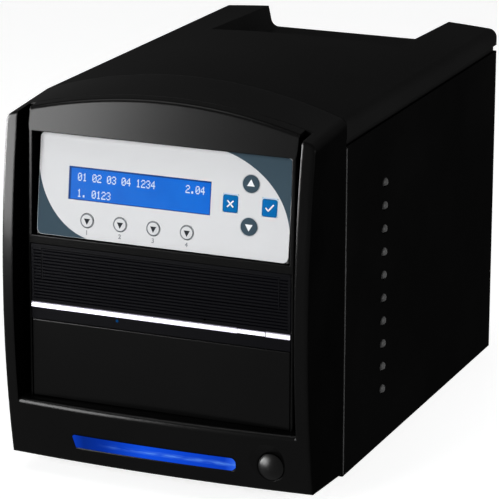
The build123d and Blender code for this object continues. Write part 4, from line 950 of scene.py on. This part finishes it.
# display: two rows of numbers in dots, five by seven to a number
DOT = 0.48 * MM
DOT_TALL = 0.6 * MM
DOT_PROUD = 0.05 * MM
LETTER = 2.8 * MM
ROWS = 7
FIRST_U = -49.0 * MM
VERSION_U = 12.7 * MM
UPPER_V = 32.5 * MM
LOWER_V = 23.9 * MM
SEGMENTS = {
    "0": ("01110", "10001", "10011", "10101", "11001", "10001", "01110"),
    "1": ("00100", "01100", "00100", "00100", "00100", "00100", "01110"),
    "2": ("01110", "10001", "00001", "00110", "01000", "10000", "11111"),
    "3": ("01110", "10001", "00001", "00110", "00001", "10001", "01110"),
    "4": ("00010", "00110", "01010", "10010", "11111", "00010", "00010"),
    ".": ("00000", "00000", "00000", "00000", "00000", "01100", "01100"),
    " ": ("00000",) * ROWS,
}
dots = bmesh.new()
for text, first_u, middle_v in (
    ("01 02 03 04 1234", FIRST_U, UPPER_V),
    ("2.04", VERSION_U, UPPER_V),
    ("1. 0123", FIRST_U, LOWER_V),
):
    for column, letter in enumerate(text):
        for line, row in enumerate(SEGMENTS[letter]):
            for across, shown in enumerate(row):
                if shown == "1":
                    u = first_u + column * LETTER + across * DOT
                    v = middle_v + (ROWS // 2 - line) * DOT_TALL
                    place = on_panel(u, v, -FILM + DOT_PROUD) @ Matrix.Diagonal((DOT, DOT_TALL, 1, 1))
                    bmesh.ops.create_grid(dots, x_segments=1, y_segments=1, size=0.5, matrix=place)
piece("display_numbers", dots, display_dots, "case")

# the display's own edge, in the shade of its window
SHADE_IN = 0.1 * MM
SHADE_TALL = 17.5 * MM
shade = bmesh.new()
u0, u1 = window_low.x + SHADE_IN, window_high.x - SHADE_IN
v0 = (window_low.z - PANEL_LOW.z) / math.cos(PANEL_LEAN) + SHADE_IN
v1 = v0 + SHADE_TALL
for start, end, wide in (
    ((u0, v1), (u1, v1), 1.6 * MM),
    ((u1, v1), (u1, v0), 1.0 * MM),
    ((u1, v0), (u0, v0), 0.8 * MM),
    ((u0, v0), (u0, v1), 2.0 * MM),
):
    merge(shade, bar(start, end, wide, INK))
piece("display_shade", placed(shade, on_panel(0, 0, -FILM)), display_edge, "case")

# ------------------------------------------------------------------ stage, light and camera
FLOOR_HALF = 30.0
FLOOR_GLOW = 0.8  # how bright the paper looks to the eye and in gloss, without lighting the object
floor_shape = bmesh.new()
bmesh.ops.create_grid(floor_shape, x_segments=1, y_segments=1, size=FLOOR_HALF)
floor_mesh = bpy.data.meshes.new("floor")
floor_shape.to_mesh(floor_mesh)
floor_shape.free()
floor = bpy.data.objects.new("floor", floor_mesh)
bpy.context.scene.collection.objects.link(floor)
# seamless paper: matt and even, so that only the object's soft shadow shows on it
floor_paint, tree, output = new_material("white_seamless_paper")
rays = add_node(tree, "LightPath")
seen = add_node(
    tree,
    "Math",
    {0: rays.outputs["Is Camera Ray"], 1: rays.outputs["Is Glossy Ray"]},
    operation="MAXIMUM",
)
seen_too = add_node(
    tree, "Math", {0: seen.outputs["Value"], 1: rays.outputs["Is Transmission Ray"]}, operation="MAXIMUM"
)
paper = add_node(tree, "BsdfDiffuse", {"Color": (0.5, 0.5, 0.5, 1)})
glow = add_node(tree, "Emission", {"Color": WHITE, "Strength": FLOOR_GLOW})
dark = add_node(tree, "Emission", {"Color": BLACK, "Strength": 0.0})
lift = add_node(
    tree,
    "MixShader",
    {0: seen_too.outputs["Value"], 1: dark.outputs["Emission"], 2: glow.outputs["Emission"]},
)
total = add_node(tree, "AddShader", {0: paper.outputs["BSDF"], 1: lift.outputs["Shader"]})
tree.links.new(total.outputs["Shader"], output.inputs["Surface"])
floor_mesh.materials.append(floor_paint)

SKY_LEVEL = 0.1  # how much the surroundings light the object
world = bpy.data.worlds.new("studio")
bpy.context.scene.world = world
world.use_nodes = True
world.node_tree.nodes.clear()
sky = world.node_tree
sky_rays = add_node(sky, "LightPath")
sky_seen = add_node(
    sky,
    "Math",
    {0: sky_rays.outputs["Is Camera Ray"], 1: sky_rays.outputs["Is Transmission Ray"]},
    operation="MAXIMUM",
)
sky_shown = add_node(
    sky,
    "Math",
    {0: sky_seen.outputs["Value"], 1: sky_rays.outputs["Is Glossy Ray"]},
    operation="MAXIMUM",
)
sky_level = add_node(
    sky, "MapRange", {"Value": sky_shown.outputs["Value"], "To Min": SKY_LEVEL, "To Max": 1.0}
)
sky_light = add_node(sky, "Background", {"Color": WHITE, "Strength": sky_level.outputs["Result"]})
sky.links.new(sky_light.outputs["Background"], add_node(sky, "OutputWorld").inputs["Surface"])


LIT_POINT = Vector((0, -0.1, 0.12))


def softbox(name, azimuth, elevation, distance, wide, tall, power, seen_in):
    """A rectangular lamp at a bearing from the lit point, which it faces.

    It is seen in gloss, in the light that it casts, or in both.
    """
    a, e = math.radians(azimuth), math.radians(elevation)
    back = Vector((math.sin(a) * math.cos(e), -math.cos(a) * math.cos(e), math.sin(e)))
    data = bpy.data.lights.new(name, "AREA")
    data.shape = "RECTANGLE"
    data.size = wide
    data.size_y = tall
    data.energy = power
    lamp = bpy.data.objects.new(name, data)
    lamp.location = LIT_POINT + back * distance
    lamp.rotation_euler = (-back).to_track_quat("-Z", "Y").to_euler()
    lamp.visible_glossy = seen_in != "light"
    lamp.visible_diffuse = seen_in != "gloss"
    bpy.context.scene.collection.objects.link(lamp)


# azimuth and elevation in degrees, distance and size in metres, power in watts
softbox("left_window", -46.0, 10.0, 0.8, 0.55, 0.5, 52.0, "gloss")
softbox("upper_left_window", -80.0, 66.0, 1.5, 0.7, 0.7, 18.0, "gloss")
softbox("far_left_window", -85.0, 8.0, 0.8, 0.4, 0.4, 90.0, "gloss")
softbox("right_window", 112.0, 10.0, 1.0, 0.35, 0.45, 7.0, "both")
softbox("front_left_light", -24.0, 16.0, 2.0, 1.0, 0.8, 34.0, "light")
softbox("top_light", -40.0, 70.0, 2.0, 1.0, 1.0, 8.0, "light")

CAMERA = Vector((643.5, -1556.7, 592.2)) * MM
CAMERA_AZIMUTH = math.radians(22.70)
CAMERA_ELEVATION = math.radians(16.42)
CAMERA_ROLL = math.radians(0.17)
FOCAL_PIXELS = 3123.0
IMAGE_WIDE = 499
SENSOR = 36.0
camera_data = bpy.data.cameras.new("camera")
camera_data.sensor_width = SENSOR
camera_data.lens = FOCAL_PIXELS / IMAGE_WIDE * SENSOR
camera = bpy.data.objects.new("camera", camera_data)
camera.location = CAMERA
camera.rotation_euler = (
    Euler((math.pi / 2 - CAMERA_ELEVATION, 0, CAMERA_AZIMUTH)).to_matrix().to_4x4()
    @ Matrix.Rotation(CAMERA_ROLL, 4, "Z")
).to_euler()
bpy.context.scene.collection.objects.link(camera)
bpy.context.scene.camera = camera
bpy.context.scene.view_settings.view_transform = "Standard"
